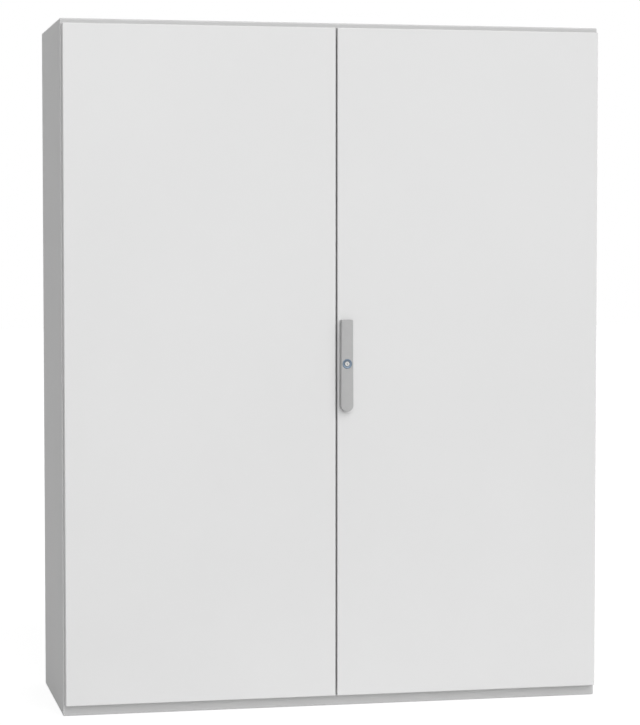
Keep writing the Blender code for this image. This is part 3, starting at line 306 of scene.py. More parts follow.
def powder_coat_group():
    """Fine-textured powder coat: small pimples, slight clouding and a little sparkle."""
    tree, given, result = new_group(
        "powder coat", [("Colour", "colour", CABINET_GREY_WITH_PAINTED_SHADE), ("Grain", "value", 0.0011),
                        ("Clouding", "value", 0.02)],
        [("Colour", "colour"), ("Roughness", "value"), ("Height", "value")])
    scale = calculate(tree, "DIVIDE", 1.0, given["Grain"])
    pimples = noise(tree, scale, 2.5, 0.55)
    orange_peel = noise(tree, calculate(tree, "MULTIPLY", scale, 0.22), 1.0, 0.4)
    cloud = spread(tree, noise(tree, 1.6, 4.0, 0.55), 0.3, 0.7, -1.0, 1.0)
    sparkle = spread(tree, noise(tree, calculate(tree, "MULTIPLY", scale, 1.7), 1.0), 0.25, 0.75, -0.6, 0.6)
    change = calculate(tree, "MULTIPLY", calculate(tree, "ADD", cloud, sparkle), given["Clouding"])
    colour = scale_colour(tree, given["Colour"], calculate(tree, "ADD", change, 1.0))
    roughness = calculate(tree, "ADD", spread(tree, pimples, 0.3, 0.7, 0.43, 0.55),
                     calculate(tree, "MULTIPLY", cloud, 0.015))
    height = calculate(tree, "ADD", pimples, calculate(tree, "MULTIPLY", orange_peel, 0.8))
    return close_group(tree, result, Colour=colour, Roughness=roughness, Height=height)


def zinc_spangle_group():
    """Galvanised sheet: crystal flakes of slightly different brightness, in two sizes."""
    tree, given, result = new_group(
        "zinc spangle", [("Colour", "colour", GALVANISED), ("Flake", "value", 0.009),
                         ("Contrast", "value", 0.10)],
        [("Colour", "colour"), ("Roughness", "value"), ("Height", "value")])
    place = add_node(tree, "ShaderNodeTexCoord").outputs["Object"]
    bent = add_node(tree, "ShaderNodeTexNoise", {"Vector": place, "Scale": 60.0}).outputs["Color"]
    shifted = add_node(tree, "ShaderNodeVectorMath", {0: bent, 1: (0.006, 0.006, 0.006)},
                       operation="MULTIPLY").outputs["Vector"]
    place = add_node(tree, "ShaderNodeVectorMath", {0: place, 1: shifted}, operation="ADD").outputs["Vector"]
    scale = calculate(tree, "DIVIDE", 1.0, given["Flake"])
    flakes = add_node(tree, "ShaderNodeTexVoronoi", {"Vector": place, "Scale": scale}).outputs["Color"]
    small = add_node(tree, "ShaderNodeTexVoronoi",
                     {"Vector": place, "Scale": calculate(tree, "MULTIPLY", scale, 2.7)}).outputs["Color"]
    big = add_node(tree, "ShaderNodeSeparateColor", {"Color": flakes}).outputs
    little = add_node(tree, "ShaderNodeSeparateColor", {"Color": small}).outputs
    mixed = calculate(tree, "ADD", calculate(tree, "MULTIPLY", big["Red"], 0.65),
                 calculate(tree, "MULTIPLY", little["Green"], 0.35))
    change = calculate(tree, "MULTIPLY", calculate(tree, "SUBTRACT", mixed, 0.5), given["Contrast"])
    colour = scale_colour(tree, given["Colour"], calculate(tree, "ADD", change, 1.0))
    roughness = spread(tree, big["Blue"], 0.0, 1.0, 0.34, 0.50)
    return close_group(tree, result, Colour=colour, Roughness=roughness, Height=mixed)


def drawn_streaks_group():
    """Fine lines left by rolling or turning, along one direction."""
    tree, given, result = new_group(
        "drawn streaks", [("Stretch", "vector", (900.0, 900.0, 30.0)), ("Strength", "value", 0.1)],
        [("Shade", "value"), ("Roughness", "value"), ("Height", "value")])
    place = add_node(tree, "ShaderNodeTexCoord").outputs["Object"]
    pulled = add_node(tree, "ShaderNodeVectorMath", {0: place, 1: given["Stretch"]},
                      operation="MULTIPLY").outputs["Vector"]
    lines = noise(tree, 1.0, 3.0, 0.6, pulled)
    shade = calculate(tree, "ADD", calculate(tree, "MULTIPLY", calculate(tree, "SUBTRACT", lines, 0.5),
                                   given["Strength"]), 1.0)
    roughness = spread(tree, lines, 0.3, 0.7, 0.24, 0.40)
    return close_group(tree, result, Shade=shade, Roughness=roughness, Height=lines)


def moulded_grain_group():
    """Spark-eroded grain of a moulded plastic part."""
    tree, given, result = new_group(
        "moulded grain", [("Colour", "colour", HANDLE_GREY), ("Grain", "value", 0.0007)],
        [("Colour", "colour"), ("Roughness", "value"), ("Height", "value")])
    scale = calculate(tree, "DIVIDE", 1.0, given["Grain"])
    place = add_node(tree, "ShaderNodeTexCoord").outputs["Object"]
    cells = add_node(tree, "ShaderNodeTexVoronoi", {"Vector": place, "Scale": scale},
                     feature="SMOOTH_F1").outputs["Distance"]
    cloud = noise(tree, 35.0, 3.0, 0.5)
    change = calculate(tree, "ADD", spread(tree, cloud, 0.3, 0.7, -0.025, 0.025),
                  spread(tree, cells, 0.0, 0.8, -0.02, 0.02))
    colour = scale_colour(tree, given["Colour"], calculate(tree, "ADD", change, 1.0))
    roughness = spread(tree, cells, 0.1, 0.7, 0.42, 0.56)
    return close_group(tree, result, Colour=colour, Roughness=roughness, Height=cells)


def foam_cells_group():
    """Small open and closed cells in the skin of a foamed seal."""
    tree, given, result = new_group(
        "foam cells", [("Colour", "colour", SEAL_BLACK), ("Cell", "value", 0.0009)],
        [("Colour", "colour"), ("Roughness", "value"), ("Height", "value")])
    scale = calculate(tree, "DIVIDE", 1.0, given["Cell"])
    place = add_node(tree, "ShaderNodeTexCoord").outputs["Object"]
    cells = add_node(tree, "ShaderNodeTexVoronoi", {"Vector": place, "Scale": scale}).outputs["Distance"]
    lumps = noise(tree, 120.0, 2.0)
    shade = calculate(tree, "ADD", spread(tree, cells, 0.0, 0.6, 0.75, 1.15),
                 spread(tree, lumps, 0.3, 0.7, -0.1, 0.1))
    colour = scale_colour(tree, given["Colour"], shade)
    roughness = spread(tree, cells, 0.0, 0.6, 0.95, 0.78)
    height = calculate(tree, "ADD", cells, lumps)
    return close_group(tree, result, Colour=colour, Roughness=roughness, Height=height)


EFFECTS = {tree.name: tree for tree in (
    soft_edges_group(), edge_wear_group(), dust_group(), powder_coat_group(), zinc_spangle_group(),
    drawn_streaks_group(), moulded_grain_group(), foam_cells_group())}


def effect(tree, name, **inputs):
    """Places a shared effect in a material and fills its inputs."""
    node = tree.nodes.new("ShaderNodeGroup")
    node.node_tree = EFFECTS[name]
    node.label = name
    for label, value in inputs.items():
        socket = node.inputs[label.replace("_", " ")]
        if isinstance(value, bpy.types.NodeSocket):
            tree.links.new(value, socket)
        else:
            socket.default_value = value
    return node.outputs


# ---------------------------------------------------------------- finishes

def new_finish(name, **settings):
    """An empty material with a Principled shader, whose uniform values are set on its own sockets."""
    material = bpy.data.materials.new(name)
    material.use_nodes = True
    tree = material.node_tree
    shader = tree.nodes["Principled BSDF"]
    for label, value in settings.items():
        shader.inputs[label.replace("_", " ")].default_value = value
    return material, tree, shader.inputs


def bumped(tree, height, depth, normal):
    sockets = {"Height": height, "Distance": depth, "Normal": normal}
    return add_node(tree, "ShaderNodeBump", sockets).outputs["Normal"]


def painted_steel(name, colour, fold_radius, shine):
    material, tree, shader = new_finish(name, Specular_IOR_Level=shine)
    edges = effect(tree, "soft edges", Radius=fold_radius)
    coat = effect(tree, "powder coat", Colour=colour, Grain=PAINT_GRAIN, Clouding=0.012)
    worn = effect(tree, "edge wear", Edge=edges["Edge"], Patch_Scale=7.0, Amount=0.35)
    dust = effect(tree, "settled dust", Amount=0.22)
    # Folds and edges blended towards a pale grey: a painted highlight.
    shown = blend_colour(tree, edges["Edge"], coat["Colour"], PAINTED_EDGE_HIGHLIGHT)
    shown = blend_colour(tree, worn["Mask"], shown, PRIMER_GREY)
    shown = blend_colour(tree, dust["Mask"], shown, DUST_GREY)
    tree.links.new(shown, shader["Base Color"])
    dulled = calculate(tree, "ADD", coat["Roughness"], calculate(tree, "MULTIPLY", dust["Mask"], 0.3))
    tree.links.new(dulled, shader["Roughness"])
    tree.links.new(bumped(tree, coat["Height"], 0.00006, edges["Normal"]), shader["Normal"])
    return material


def galvanised_sheet():
    material, tree, shader = new_finish("galvanised_sheet", Metallic=0.85, Specular_IOR_Level=0.5)
    edges = effect(tree, "soft edges", Radius=0.0007)
    zinc = effect(tree, "zinc spangle", Colour=GALVANISED, Flake=0.010, Contrast=0.16)
    dust = effect(tree, "settled dust", Amount=0.3)
    # Folds and edges lightened towards bright zinc: a painted highlight.
    bright = calculate(tree, "MULTIPLY", edges["Edge"], 0.35)
    shown = blend_colour(tree, bright, zinc["Colour"], BRIGHT_ZINC)
    tree.links.new(blend_colour(tree, dust["Mask"], shown, DUST_GREY), shader["Base Color"])
    dulled = calculate(tree, "ADD", zinc["Roughness"], calculate(tree, "MULTIPLY", dust["Mask"], 0.35))
    tree.links.new(dulled, shader["Roughness"])
    tree.links.new(bumped(tree, zinc["Height"], 0.00004, edges["Normal"]), shader["Normal"])
    return material


def plated_metal(name, colour, stretch):
    material, tree, shader = new_finish(name, Metallic=1.0)
    edges = effect(tree, "soft edges", Radius=0.0004)
    lines = effect(tree, "drawn streaks", Stretch=stretch, Strength=0.16)
    worn = effect(tree, "edge wear", Edge=edges["Edge"], Patch_Scale=60.0, Amount=0.5)
    shown = scale_colour(tree, colour[:3], lines["Shade"])
    tree.links.new(blend_colour(tree, worn["Mask"], shown, BRIGHT_ZINC), shader["Base Color"])
    tree.links.new(lines["Roughness"], shader["Roughness"])
    tree.links.new(bumped(tree, lines["Height"], 0.00002, edges["Normal"]), shader["Normal"])
    return material


def moulded_plastic(name, colour, rubbed, grain):
    material, tree, shader = new_finish(name, Specular_IOR_Level=0.5)
    edges = effect(tree, "soft edges", Radius=0.0006)
    skin = effect(tree, "moulded grain", Colour=colour, Grain=grain)
    worn = effect(tree, "edge wear", Edge=edges["Edge"], Patch_Scale=40.0, Amount=0.6)
    tree.links.new(blend_colour(tree, worn["Mask"], skin["Colour"], rubbed), shader["Base Color"])
    polished = calculate(tree, "SUBTRACT", skin["Roughness"], calculate(tree, "MULTIPLY", worn["Mask"], 0.12))
    tree.links.new(polished, shader["Roughness"])
    tree.links.new(bumped(tree, skin["Height"], 0.00005, edges["Normal"]), shader["Normal"])
    return material


def foamed_seal():
    material, tree, shader = new_finish("foamed_seal", Specular_IOR_Level=0.25)
    skin = effect(tree, "foam cells", Colour=SEAL_BLACK, Cell=0.0009)
    dust = effect(tree, "settled dust", Amount=0.25)
    tree.links.new(blend_colour(tree, dust["Mask"], skin["Colour"], DUST_GREY), shader["Base Color"])
    tree.links.new(skin["Roughness"], shader["Roughness"])
    flat = add_node(tree, "ShaderNodeNewGeometry").outputs["Normal"]
    tree.links.new(bumped(tree, skin["Height"], 0.0002, flat), shader["Normal"])
    return material


def make_finishes():
    """One material for each slot of the record, and the ones that only small pieces use."""
    return {
        # The cabinet's coat is the door paint made darker: painted shade on the body's sides, strips and
        # folds.
        "cabinet_paint": painted_steel("cabinet_powder_coat_painted_shade", CABINET_GREY_WITH_PAINTED_SHADE, CABINET_FOLD, CABINET_SHINE),
        "door_paint": painted_steel("door_powder_coat", DOOR_GREY, DOOR_FOLD, DOOR_SHINE),
        "zinc_plate": galvanised_sheet(),
        "plated_steel": plated_metal("bright_zinc_plating", BRIGHT_ZINC, (700.0, 700.0, 60.0)),
        "seal_foam": foamed_seal(),
        "handle_plastic": moulded_plastic("handle_plastic", HANDLE_GREY, HANDLE_RUBBED, HANDLE_GRAIN),
        "plug_plastic": moulded_plastic("guide_plastic", GUIDE_GREY, HANDLE_GREY, GUIDE_GRAIN),
        "nickel": plated_metal("satin_nickel", SATIN_NICKEL, (500.0, 60.0, 60.0)),
        "lock_ring": plated_metal("blued_lock_ring", BLUED_RING, (400.0, 400.0, 400.0)),
    }


# ---------------------------------------------------------------- shapes

def hex_radius(angle, radius):
    """How far a hexagon's side is from its centre at an angle; radius is to its corners."""
    turn = (angle % (pi / 3)) - pi / 6
    return radius * cos(pi / 6) / cos(turn)


def add_turned(bm, profile, place, towards, sides=24, closed=False):
    """Turns a profile of (radius, height, is_hexagon) about an axis that starts at a place."""
    axis = Vector(towards).normalized()
    across = axis.orthogonal().normalized()
    along = axis.cross(across)
    start = Vector(place)
    rings = []
    for radius, height, is_hexagon in profile:
        centre = start + axis * height
        if radius == 0:
            rings.append([bm.verts.new(centre)])
            continue
        ring = []
        for step in range(sides):
            angle = tau * step / sides
            reach = hex_radius(angle, radius) if is_hexagon else radius
            ring.append(bm.verts.new(centre + (across * cos(angle) + along * sin(angle)) * reach))
        rings.append(ring)
    join_in_turn(bm, rings, closed)
    return rings


def join_rings(bm, first, second):
    """Faces between two closed rings of the same length, or between a ring and its centre."""
    count = max(len(first), len(second))
    for step in range(count):
        after = (step + 1) % count
        corners = [first[step % len(first)], first[after % len(first)],
                   second[after % len(second)], second[step % len(second)]]
        unique = [corner for index, corner in enumerate(corners) if corner not in corners[:index]]
        bm.faces.new(unique)


def join_in_turn(bm, rings, closed=False):
    """Faces from each ring to the next, and from the last to the first if closed."""
    for first, second in zip(rings, rings[1:] + (rings[:1] if closed else [])):
        join_rings(bm, first, second)


def add_screw(bm, head, place, towards):
    """A domed head with a hexagon socket."""
    radius, height, socket, depth = head
    profile = [(0, height - depth, False), (socket, height - depth, True), (socket, height, True)]
    profile += [(radius * across, height * up, False) for across, up in DOME]
    add_turned(bm, [*profile, (0, 0, False)], place, towards)


def add_nut(bm, radius, height, place, towards):
    """A hexagon nut with chamfered corners, on a washer."""
    washer, rim, chamfer = height * 0.25, radius * 1.25, radius * 0.14
    disc = [(0, 0, False), (rim, 0, False), (rim, washer, False), (0, washer, False)]
    add_turned(bm, disc, place, towards)
    flat = radius * cos(pi / 6)
    top = washer + height
    body = [(0, washer, False), (radius, washer, True), (radius, top - chamfer, True),
            (flat * 0.96, top, False), (0, top, False)]
    add_turned(bm, body, place, towards)


def add_stud(bm, radius, length, place, towards):
    """A threaded stud with a chamfered tip; rings stand for its thread."""
    pitch, root, tip = radius * 0.32, radius * 0.86, radius * 0.7
    profile = [(0, 0, False)]
    height = 0.0
    while height < length - 2 * pitch:
        profile += [(radius, height, False), (root, height + pitch / 2, False)]
        height += pitch
    profile += [(radius, height, False), (tip, length, False), (0, length, False)]
    add_turned(bm, profile, place, towards, sides=16)


def rounded_rectangle(low, high, radius, steps=6):
    """Corner points of a rectangle with round corners, in order, as (x, z)."""
    (low_x, low_z), (high_x, high_z) = low, high
    centres = ((high_x - radius, high_z - radius), (low_x + radius, high_z - radius),
               (low_x + radius, low_z + radius), (high_x - radius, low_z + radius))
    points = []
    for quarter, (x, z) in enumerate(centres):
        for step in range(steps + 1):
            angle = (quarter + step / steps) * pi / 2
            points.append((x + radius * cos(angle), z + radius * sin(angle)))
    return points


def add_ring_sweep(bm, low, high, corner, profile, mitred=False):
    """Sweeps a closed profile of (outward offset, y) round a rectangle; mitred corners keep their radius."""
    rings = []
    for offset, y in profile:
        grown_low = (low[0] - offset, low[1] - offset)
        grown_high = (high[0] + offset, high[1] + offset)
        points = rounded_rectangle(grown_low, grown_high, corner if mitred else corner + offset)
        rings.append([bm.verts.new((x, y, z)) for x, z in points])
    join_in_turn(bm, rings, closed=True)


def add_flat_plate(bm, outlines, low_y, high_y):
    """A flat plate between two depths; outlines after the first are holes in it."""
    curve = bpy.data.curves.new("plate_outline", "CURVE")
    curve.dimensions = "2D"
    curve.fill_mode = "BOTH"
    curve.extrude = (high_y - low_y) / 2
    for outline in outlines:
        spline = curve.splines.new("POLY")
        spline.points.add(len(outline) - 1)
        spline.use_cyclic_u = True
        for point, (x, z) in zip(spline.points, outline):
            point.co = (x, z, 0, 1)
    holder = bpy.data.objects.new("plate_outline", curve)
    bpy.context.scene.collection.objects.link(holder)
    bpy.context.view_layer.update()
    mesh = bpy.data.meshes.new_from_object(holder.evaluated_get(bpy.context.evaluated_depsgraph_get()))
    bpy.data.objects.remove(holder)
    bpy.data.curves.remove(curve)
    middle = (low_y + high_y) / 2
    for vertex in mesh.vertices:
        x, z, y = vertex.co
        vertex.co = (x, middle - y, z)
    bm.from_mesh(mesh)
    bpy.data.meshes.remove(mesh)
    bmesh.ops.remove_doubles(bm, verts=bm.verts, dist=SAME_PLACE / 10)


def circle(x, z, radius, steps=16):
    return [(x + radius * cos(tau * step / steps), z + radius * sin(tau * step / steps))
            for step in range(steps)]


def new_piece(name, bm, slot, body, smooth_angle=32, finish=None):
    """A mesh in the row frame that rides on a body and takes a slot's finish."""
    bmesh.ops.recalc_face_normals(bm, faces=bm.faces)
    mesh = bpy.data.meshes.new(name)
    bm.to_mesh(mesh)
    bm.free()
    piece = bpy.data.objects.new(name, mesh)
    bpy.context.scene.collection.objects.link(piece)
    mesh.shade_smooth()
    mesh.set_sharp_from_angle(angle=radians(smooth_angle))
    mesh.materials.append(FINISHES[finish or slot])
    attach(piece, body)
    return piece


# ---------------------------------------------------------------- cabinet pieces

def panel_screw_places():
    low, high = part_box("rear_panel")
    left, right = low.x + PANEL_SCREW_INSET, high.x - PANEL_SCREW_INSET
    bottom, top = low.z + PANEL_SCREW_INSET, high.z - PANEL_SCREW_INSET
    column_step = (right - left) / (PANEL_SCREW_COLUMNS - 1)
    row_step = (top - bottom) / (PANEL_SCREW_ROWS - 1)
    places = [(left + column_step * column, z) for column in range(PANEL_SCREW_COLUMNS)
              for z in (bottom, top)]
    places += [(x, bottom + row_step * row) for row in range(1, PANEL_SCREW_ROWS - 1)
               for x in (left, right)]
    return places


def build_rear_panel():
    """A flat painted panel whose screws sit flush in pressed dimples."""
    low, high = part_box("rear_panel")
    places = panel_screw_places()
    bm = bmesh.new()
    edge = rounded_rectangle((low.x, low.z), (high.x, high.z), PANEL_CORNER, steps=4)
    holes = [circle(x, z, DIMPLE_RADIUS, 24) for x, z in places]
    add_flat_plate(bm, [edge, *holes], low.y, high.y)
    deep = high.y - low.y - HAIR
    lip_share, lip_depth = DIMPLE_LIP
    profile = [(DIMPLE_RADIUS, 0.0, False), (DIMPLE_RADIUS * lip_share, lip_depth, False),
               (DIMPLE_FLOOR, deep * 0.8, False), (DIMPLE_FLOOR, deep, False),
               (DIMPLE_RADIUS, deep, False)]
    for x, z in places:
        add_turned(bm, profile, (x, high.y, z), (0, -1, 0), closed=True)
    panel = new_piece("rear_panel_dimpled", bm, "cabinet_paint", "cabinet", smooth_angle=50)
    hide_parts("rear_panel")
    screws = bmesh.new()
    seat = high.y - FLUSH_HEAD[1] - DIMPLE_SCREW_DROP
    for x, z in places:
        add_screw(screws, FLUSH_HEAD, (x, seat, z), (0, 1, 0))
    new_piece("rear_panel_screws", screws, "plated_steel", "cabinet")


def build_gland_screws():
    """Two rows of screws in each gland plate."""
    bm = bmesh.new()
    inset_x, inset_y = GLAND_SCREW_INSET
    for name in ("left", "centre", "right"):
        low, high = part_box(f"gland_plate_{name}")
        step = (high.x - low.x - 2 * inset_x) / (GLAND_SCREW_COLUMNS - 1)
        for column in range(GLAND_SCREW_COLUMNS):
            for y in (low.y + inset_y, high.y - inset_y):
                add_screw(bm, PAN_HEAD, (low.x + inset_x + step * column, y, high.z), (0, 0, 1))
    new_piece("gland_plate_screws", bm, "plated_steel", "cabinet")


def build_gland_strips():
    """Cover strips over the two joints between the gland plates."""
    low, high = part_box("gland_plate_centre")
    joint = (high.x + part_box("gland_plate_right")[0].x) / 2
    seat = high.z + HAIR
    levels = ((0.0, 0.0), (0.0, STRIP_SHEET - STRIP_CHAMFER), (STRIP_CHAMFER, STRIP_SHEET))
    for side, sign in SIDES.items():
        bm = bmesh.new()
        rings = []
        for inset, height in levels:
            outline = rounded_rectangle(
                (sign * joint - STRIP_HALF + inset, low.y + STRIP_SETBACK + inset),
                (sign * joint + STRIP_HALF - inset, high.y - STRIP_SETBACK - inset), STRIP_CORNER - inset)
            rings.append([bm.verts.new((x, y, seat + height)) for x, y in outline])
        join_in_turn(bm, rings)
        bm.faces.new(rings[0])
        bm.faces.new(rings[-1])
        new_piece(f"gland_strip_{side}", bm, "zinc_plate", "cabinet")


def build_bracket_screws():
    """Two countersunk screws in the plate of each hinge bracket, and three in each keeper's leg."""
    bm = bmesh.new()
    across, along = HINGE_SCREW_INSET
    for side, sign in SIDES.items():
        for hinge in HINGES:
            low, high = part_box(f"hinge_bracket_{side}_{hinge}")
            inner = low.x if sign > 0 else high.x
            for z in (low.z + along, high.z - along):
                place = (inner + sign * across, high.y - BRACKET_SHEET, z)
                add_screw(bm, SMALL_PAN, place, (0, -1, 0))
    along, across = KEEPER_SCREW_INSET
    for name in ("top", "bottom"):
        low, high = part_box(f"keeper_{name}")
        z = high.z - across if name == "top" else low.z + across
        flange_front = high.y - BRACKET_SHEET - FIT_GAP - BODY_SHEET
        for x in (low.x + along, 0.0, high.x - along):
            add_screw(bm, PAN_HEAD, (x, flange_front, z), (0, -1, 0))
    new_piece("bracket_screws", bm, "plated_steel", "cabinet")


def build_plate_nuts():
    """A nut behind the tab of each mounting plate bracket."""
    bm = bmesh.new()
    for height in ("bottom", "top"):
        for side in SIDES:
            bolt_low, bolt_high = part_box(f"plate_bolt_{height}_{side}")
            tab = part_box(f"plate_bracket_{height}_{side}")[1].y
            centre = (bolt_low + bolt_high) / 2
            add_nut(bm, *PLATE_NUT, (centre.x, tab + HAIR, centre.z), (0, 1, 0))
    new_piece("plate_bolt_nuts", bm, "plated_steel", "cabinet")


def build_earth_studs():
    """A threaded earth stud with its nuts inside each side wall and on each door."""
    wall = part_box("body_shell")[1].x - BODY_SHEET - HAIR
    for side, sign in SIDES.items():
        bm = bmesh.new()
        add_stud(bm, *WALL_STUD, (sign * wall, *WALL_STUD_AT), (-sign, 0, 0))
        for reach in WALL_NUTS_AT:
            add_nut(bm, *WALL_NUT, (sign * (wall - reach), *WALL_STUD_AT), (-sign, 0, 0))
        new_piece(f"earth_stud_{side}_wall", bm, "plated_steel", "cabinet")
        bm = bmesh.new()
        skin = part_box(f"{side}_door_frame")[0].y - FIT_GAP
        x, z = DOOR_STUD_AT
        add_stud(bm, *DOOR_STUD, (sign * x, skin, z), (0, 1, 0))
        add_nut(bm, *DOOR_NUT, (sign * x, skin + DOOR_NUT_AT, z), (0, 1, 0))
        new_piece(f"earth_stud_{side}_door", bm, "plated_steel", f"{side}_door")


# ---------------------------------------------------------------- door pieces

def rim_points(low, high, per_side=4):
    """Evenly spaced points round a rectangle, in order, as (x, z)."""
    corners = ((low[0], low[1]), (high[0], low[1]), (high[0], high[1]), (low[0], high[1]))
    points = []
    for (x, z), (next_x, next_z) in zip(corners, corners[1:] + corners[:1]):
        points += [(x + (next_x - x) * step / per_side, z + (next_z - z) * step / per_side)
                   for step in range(per_side)]
    return points


def add_pierced_cell(bm, low, high, hole, squareness, face):
    """One pitch of a perforated sheet: a rectangle with a hole of half sizes (x, z) through it."""
    centre_x, centre_z = (low[0] + high[0]) / 2, (low[1] + high[1]) / 2
    outer = rim_points(low, high)
    inner = []
    for x, z in outer:
        angle = atan2((z - centre_z) / (high[1] - low[1]), (x - centre_x) / (high[0] - low[0]))
        across, up = cos(angle), sin(angle)
        inner.append((centre_x + hole[0] * copysign(abs(across) ** squareness, across),
                      centre_z + hole[1] * copysign(abs(up) ** squareness, up)))
    loops = ((outer, face), (inner, face), (inner, face - CHANNEL_SHEET), (outer, face - CHANNEL_SHEET))
    join_in_turn(bm, [[bm.verts.new((x, y, z)) for x, z in loop] for loop, y in loops])


def add_pierced_run(bm, low, high, along, face):
    """A straight run of cells with round holes and slots in turn; along is 0 for x and 1 for z."""
    count = round((high[along] - low[along]) / HOLE_PITCH)
    pitch = (high[along] - low[along]) / count
    for index in range(count):
        start, end = list(low), list(high)
        start[along] = low[along] + index * pitch
        end[along] = start[along] + pitch
        if index % 2:
            slot = SLOT_HALF[::-1] if along else SLOT_HALF
            add_pierced_cell(bm, start, end, slot, SQUARED, face)
        else:
            add_pierced_cell(bm, start, end, ROUND_HOLE, ROUND, face)


def add_pierced_ring(bm, outer_low, outer_high, width, face):
    """Four perforated runs and the plain squares at their corners, closed round their edges."""
    (left, bottom), (right, top) = outer_low, outer_high
    for x in (left, right - width):
        add_pierced_run(bm, (x, bottom + width), (x + width, top - width), 1, face)
        for z in (bottom, top - width):
            ends = [[bm.verts.new((px, y, pz)) for px, pz in rim_points((x, z), (x + width, z + width))]
                    for y in (face, face - CHANNEL_SHEET)]
            for end in ends:
                bm.faces.new(end)
    for z in (bottom, top - width):
        add_pierced_run(bm, (left + width, z), (right - width, z + width), 0, face)
    bmesh.ops.remove_doubles(bm, verts=bm.verts, dist=SAME_PLACE)
    middle = face - CHANNEL_SHEET / 2
    behind = {(round(vert.co.x, 5), round(vert.co.z, 5)): vert
              for vert in bm.verts if vert.co.y < middle}
    for edge in [edge for edge in bm.edges if edge.is_boundary]:
        first, second = edge.verts
        if min(first.co.y, second.co.y) > middle:
            backs = [behind[round(vert.co.x, 5), round(vert.co.z, 5)] for vert in (second, first)]
            bm.faces.new((first, second, *backs))


def fold_points(radius, start, turns):
    """Points of a sheet's fold as (offset, y), from flat to upright or back."""
    return [(radius * sin(turn), start - radius * (1 - cos(turn))) for turn in turns]


def build_door_channel(side):
    """A perforated channel ring behind the door skin, open towards it."""
    low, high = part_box(f"{side}_door_frame")
    fold, face = CHANNEL_FOLD, high.y
    bm = bmesh.new()
    flat_low, flat_high = (low.x + fold, low.z + fold), (high.x - fold, high.z - fold)
    add_pierced_ring(bm, flat_low, flat_high, CHANNEL_WIDTH - 2 * fold, face)
    inner_fold = fold - CHANNEL_SHEET
    wall = [*fold_points(fold, face, (0.0, 0.4, 0.8, 1.2, pi / 2)), (fold, low.y), (inner_fold, low.y),
            *fold_points(inner_fold, face - CHANNEL_SHEET, (pi / 2, 0.8, 0.0))]
    add_ring_sweep(bm, flat_low, flat_high, CHANNEL_CORNER, wall)
    inset = CHANNEL_WIDTH - fold
    inner_low, inner_high = (low.x + inset, low.z + inset), (high.x - inset, high.z - inset)
    inner_wall = [(-offset, y) for offset, y in wall]
    add_ring_sweep(bm, inner_low, inner_high, CHANNEL_MITRE, inner_wall, mitred=True)
    channel = new_piece(f"{side}_door_channel", bm, "zinc_plate", f"{side}_door", smooth_angle=40)
    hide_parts(f"{side}_door_frame")


def build_door_seal(side):
    """A foamed bead with a rounded crown, laid in one run with round corners."""
    low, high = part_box(f"{side}_door_gasket")
    half, depth, foot = SEAL_HALF, high.y - low.y, SEAL_HALF * SEAL_FOOT
    crown = [(half * cos(angle), low.y + depth * (SEAL_SHOULDER + (1 - SEAL_SHOULDER) * sin(angle)))
             for angle in (step * pi / 10 for step in range(11))]
    profile = [(foot, low.y), *crown, (-foot, low.y)]
    bm = bmesh.new()
    add_ring_sweep(bm, (low.x + half, low.z + half), (high.x - half, high.z - half), SEAL_CORNER, profile)
    seal = new_piece(f"{side}_door_seal", bm, "seal_foam", f"{side}_door", smooth_angle=50)
    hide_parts(f"{side}_door_gasket")


def new_guide_screws(guide):
    """Two screws in each of a door's guides, in a new mesh."""
    bm = bmesh.new()
    for name in ("upper", "lower"):
        low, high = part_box(f"{guide}_{name}")
        middle = (low.z + high.z) / 2
        for x in (low.x + GUIDE_SCREW_INSET, high.x - GUIDE_SCREW_INSET):
            add_screw(bm, SMALL_PAN, (x, high.y, middle), (0, 1, 0))
    return bm


def build_door_fixings():
    """The guides' screws on both doors, and the four nuts of the lock case."""
    new_piece("left_door_fixings", new_guide_screws("left_bolt_guide"), "plated_steel", "left_door")
    right = new_guide_screws("rod_guide")
    low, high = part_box("lock_case")
    middle = (low + high) / 2
    across, up = CASE_NUTS_AT
    for x in (-across, across):
        for z in (-up, up):
            add_nut(right, *CASE_NUT, (middle.x + x, high.y, middle.z + z), (0, 1, 0))
    new_piece("right_door_fixings", right, "plated_steel", "right_door")


# ---------------------------------------------------------------- swing handle

def lever_outline(middle_x, shrink):
    """Flat top with small corners, sides that widen a little, and a round lower end."""
    corner = LEVER_CORNER - shrink
    reach = LEVER_HALF_TOP - LEVER_CORNER
    top = LEVER_TOP - LEVER_CORNER
    end = LEVER_TOP - LEVER_LENGTH + LEVER_HALF_END
    points = []
    for centre_x, centre_z, radius, first, last, steps in (
            (reach, top, corner, 0, 90, 6), (-reach, top, corner, 90, 180, 6),
            (0.0, end, LEVER_HALF_END - shrink, 180, 360, 40)):
        for step in range(steps + 1):
            angle = radians(first + (last - first) * step / steps)
            points.append((middle_x + centre_x + radius * cos(angle), centre_z + radius * sin(angle)))
    return points


def add_lock_barrel(bm, middle_x, face, back, radius):
    """The core's turned body, with a keyway cut in its face."""
    key_x, key_z, key_deep = KEYWAY
    slot = [(middle_x + x, LOCK_Z + z) for x, z in ((key_x, key_z), (-key_x, key_z),
                                                    (-key_x, -key_z), (key_x, -key_z))]
    bottom, mouth = [[bm.verts.new((x, face + depth, z)) for x, z in slot]
                     for depth in (key_deep, CORE_DROP)]
    bm.faces.new(bottom)
    join_rings(bm, bottom, mouth)
    rim_width, rim_bevel = CORE_RIM
    profile = [(CORE_FACE, CORE_DROP, False), (CORE_FACE + CORE_DROP, GROOVE_DEPTH, False),
               (radius - rim_width, GROOVE_DEPTH, False), (radius - rim_bevel, 0.0, False),
               (radius, CORE_DROP, False), (radius, back - face - CORE_TAIL, False)]
    turned = add_turned(bm, profile, (middle_x, face, LOCK_Z), (0, 1, 0), sides=48)
    edges = [edge for edge in bm.edges if edge.is_boundary
             and set(edge.verts) <= set(mouth) | set(turned[0])]
    bmesh.ops.triangle_fill(bm, use_beauty=True, edges=edges)
    bm.faces.new(turned[-1])


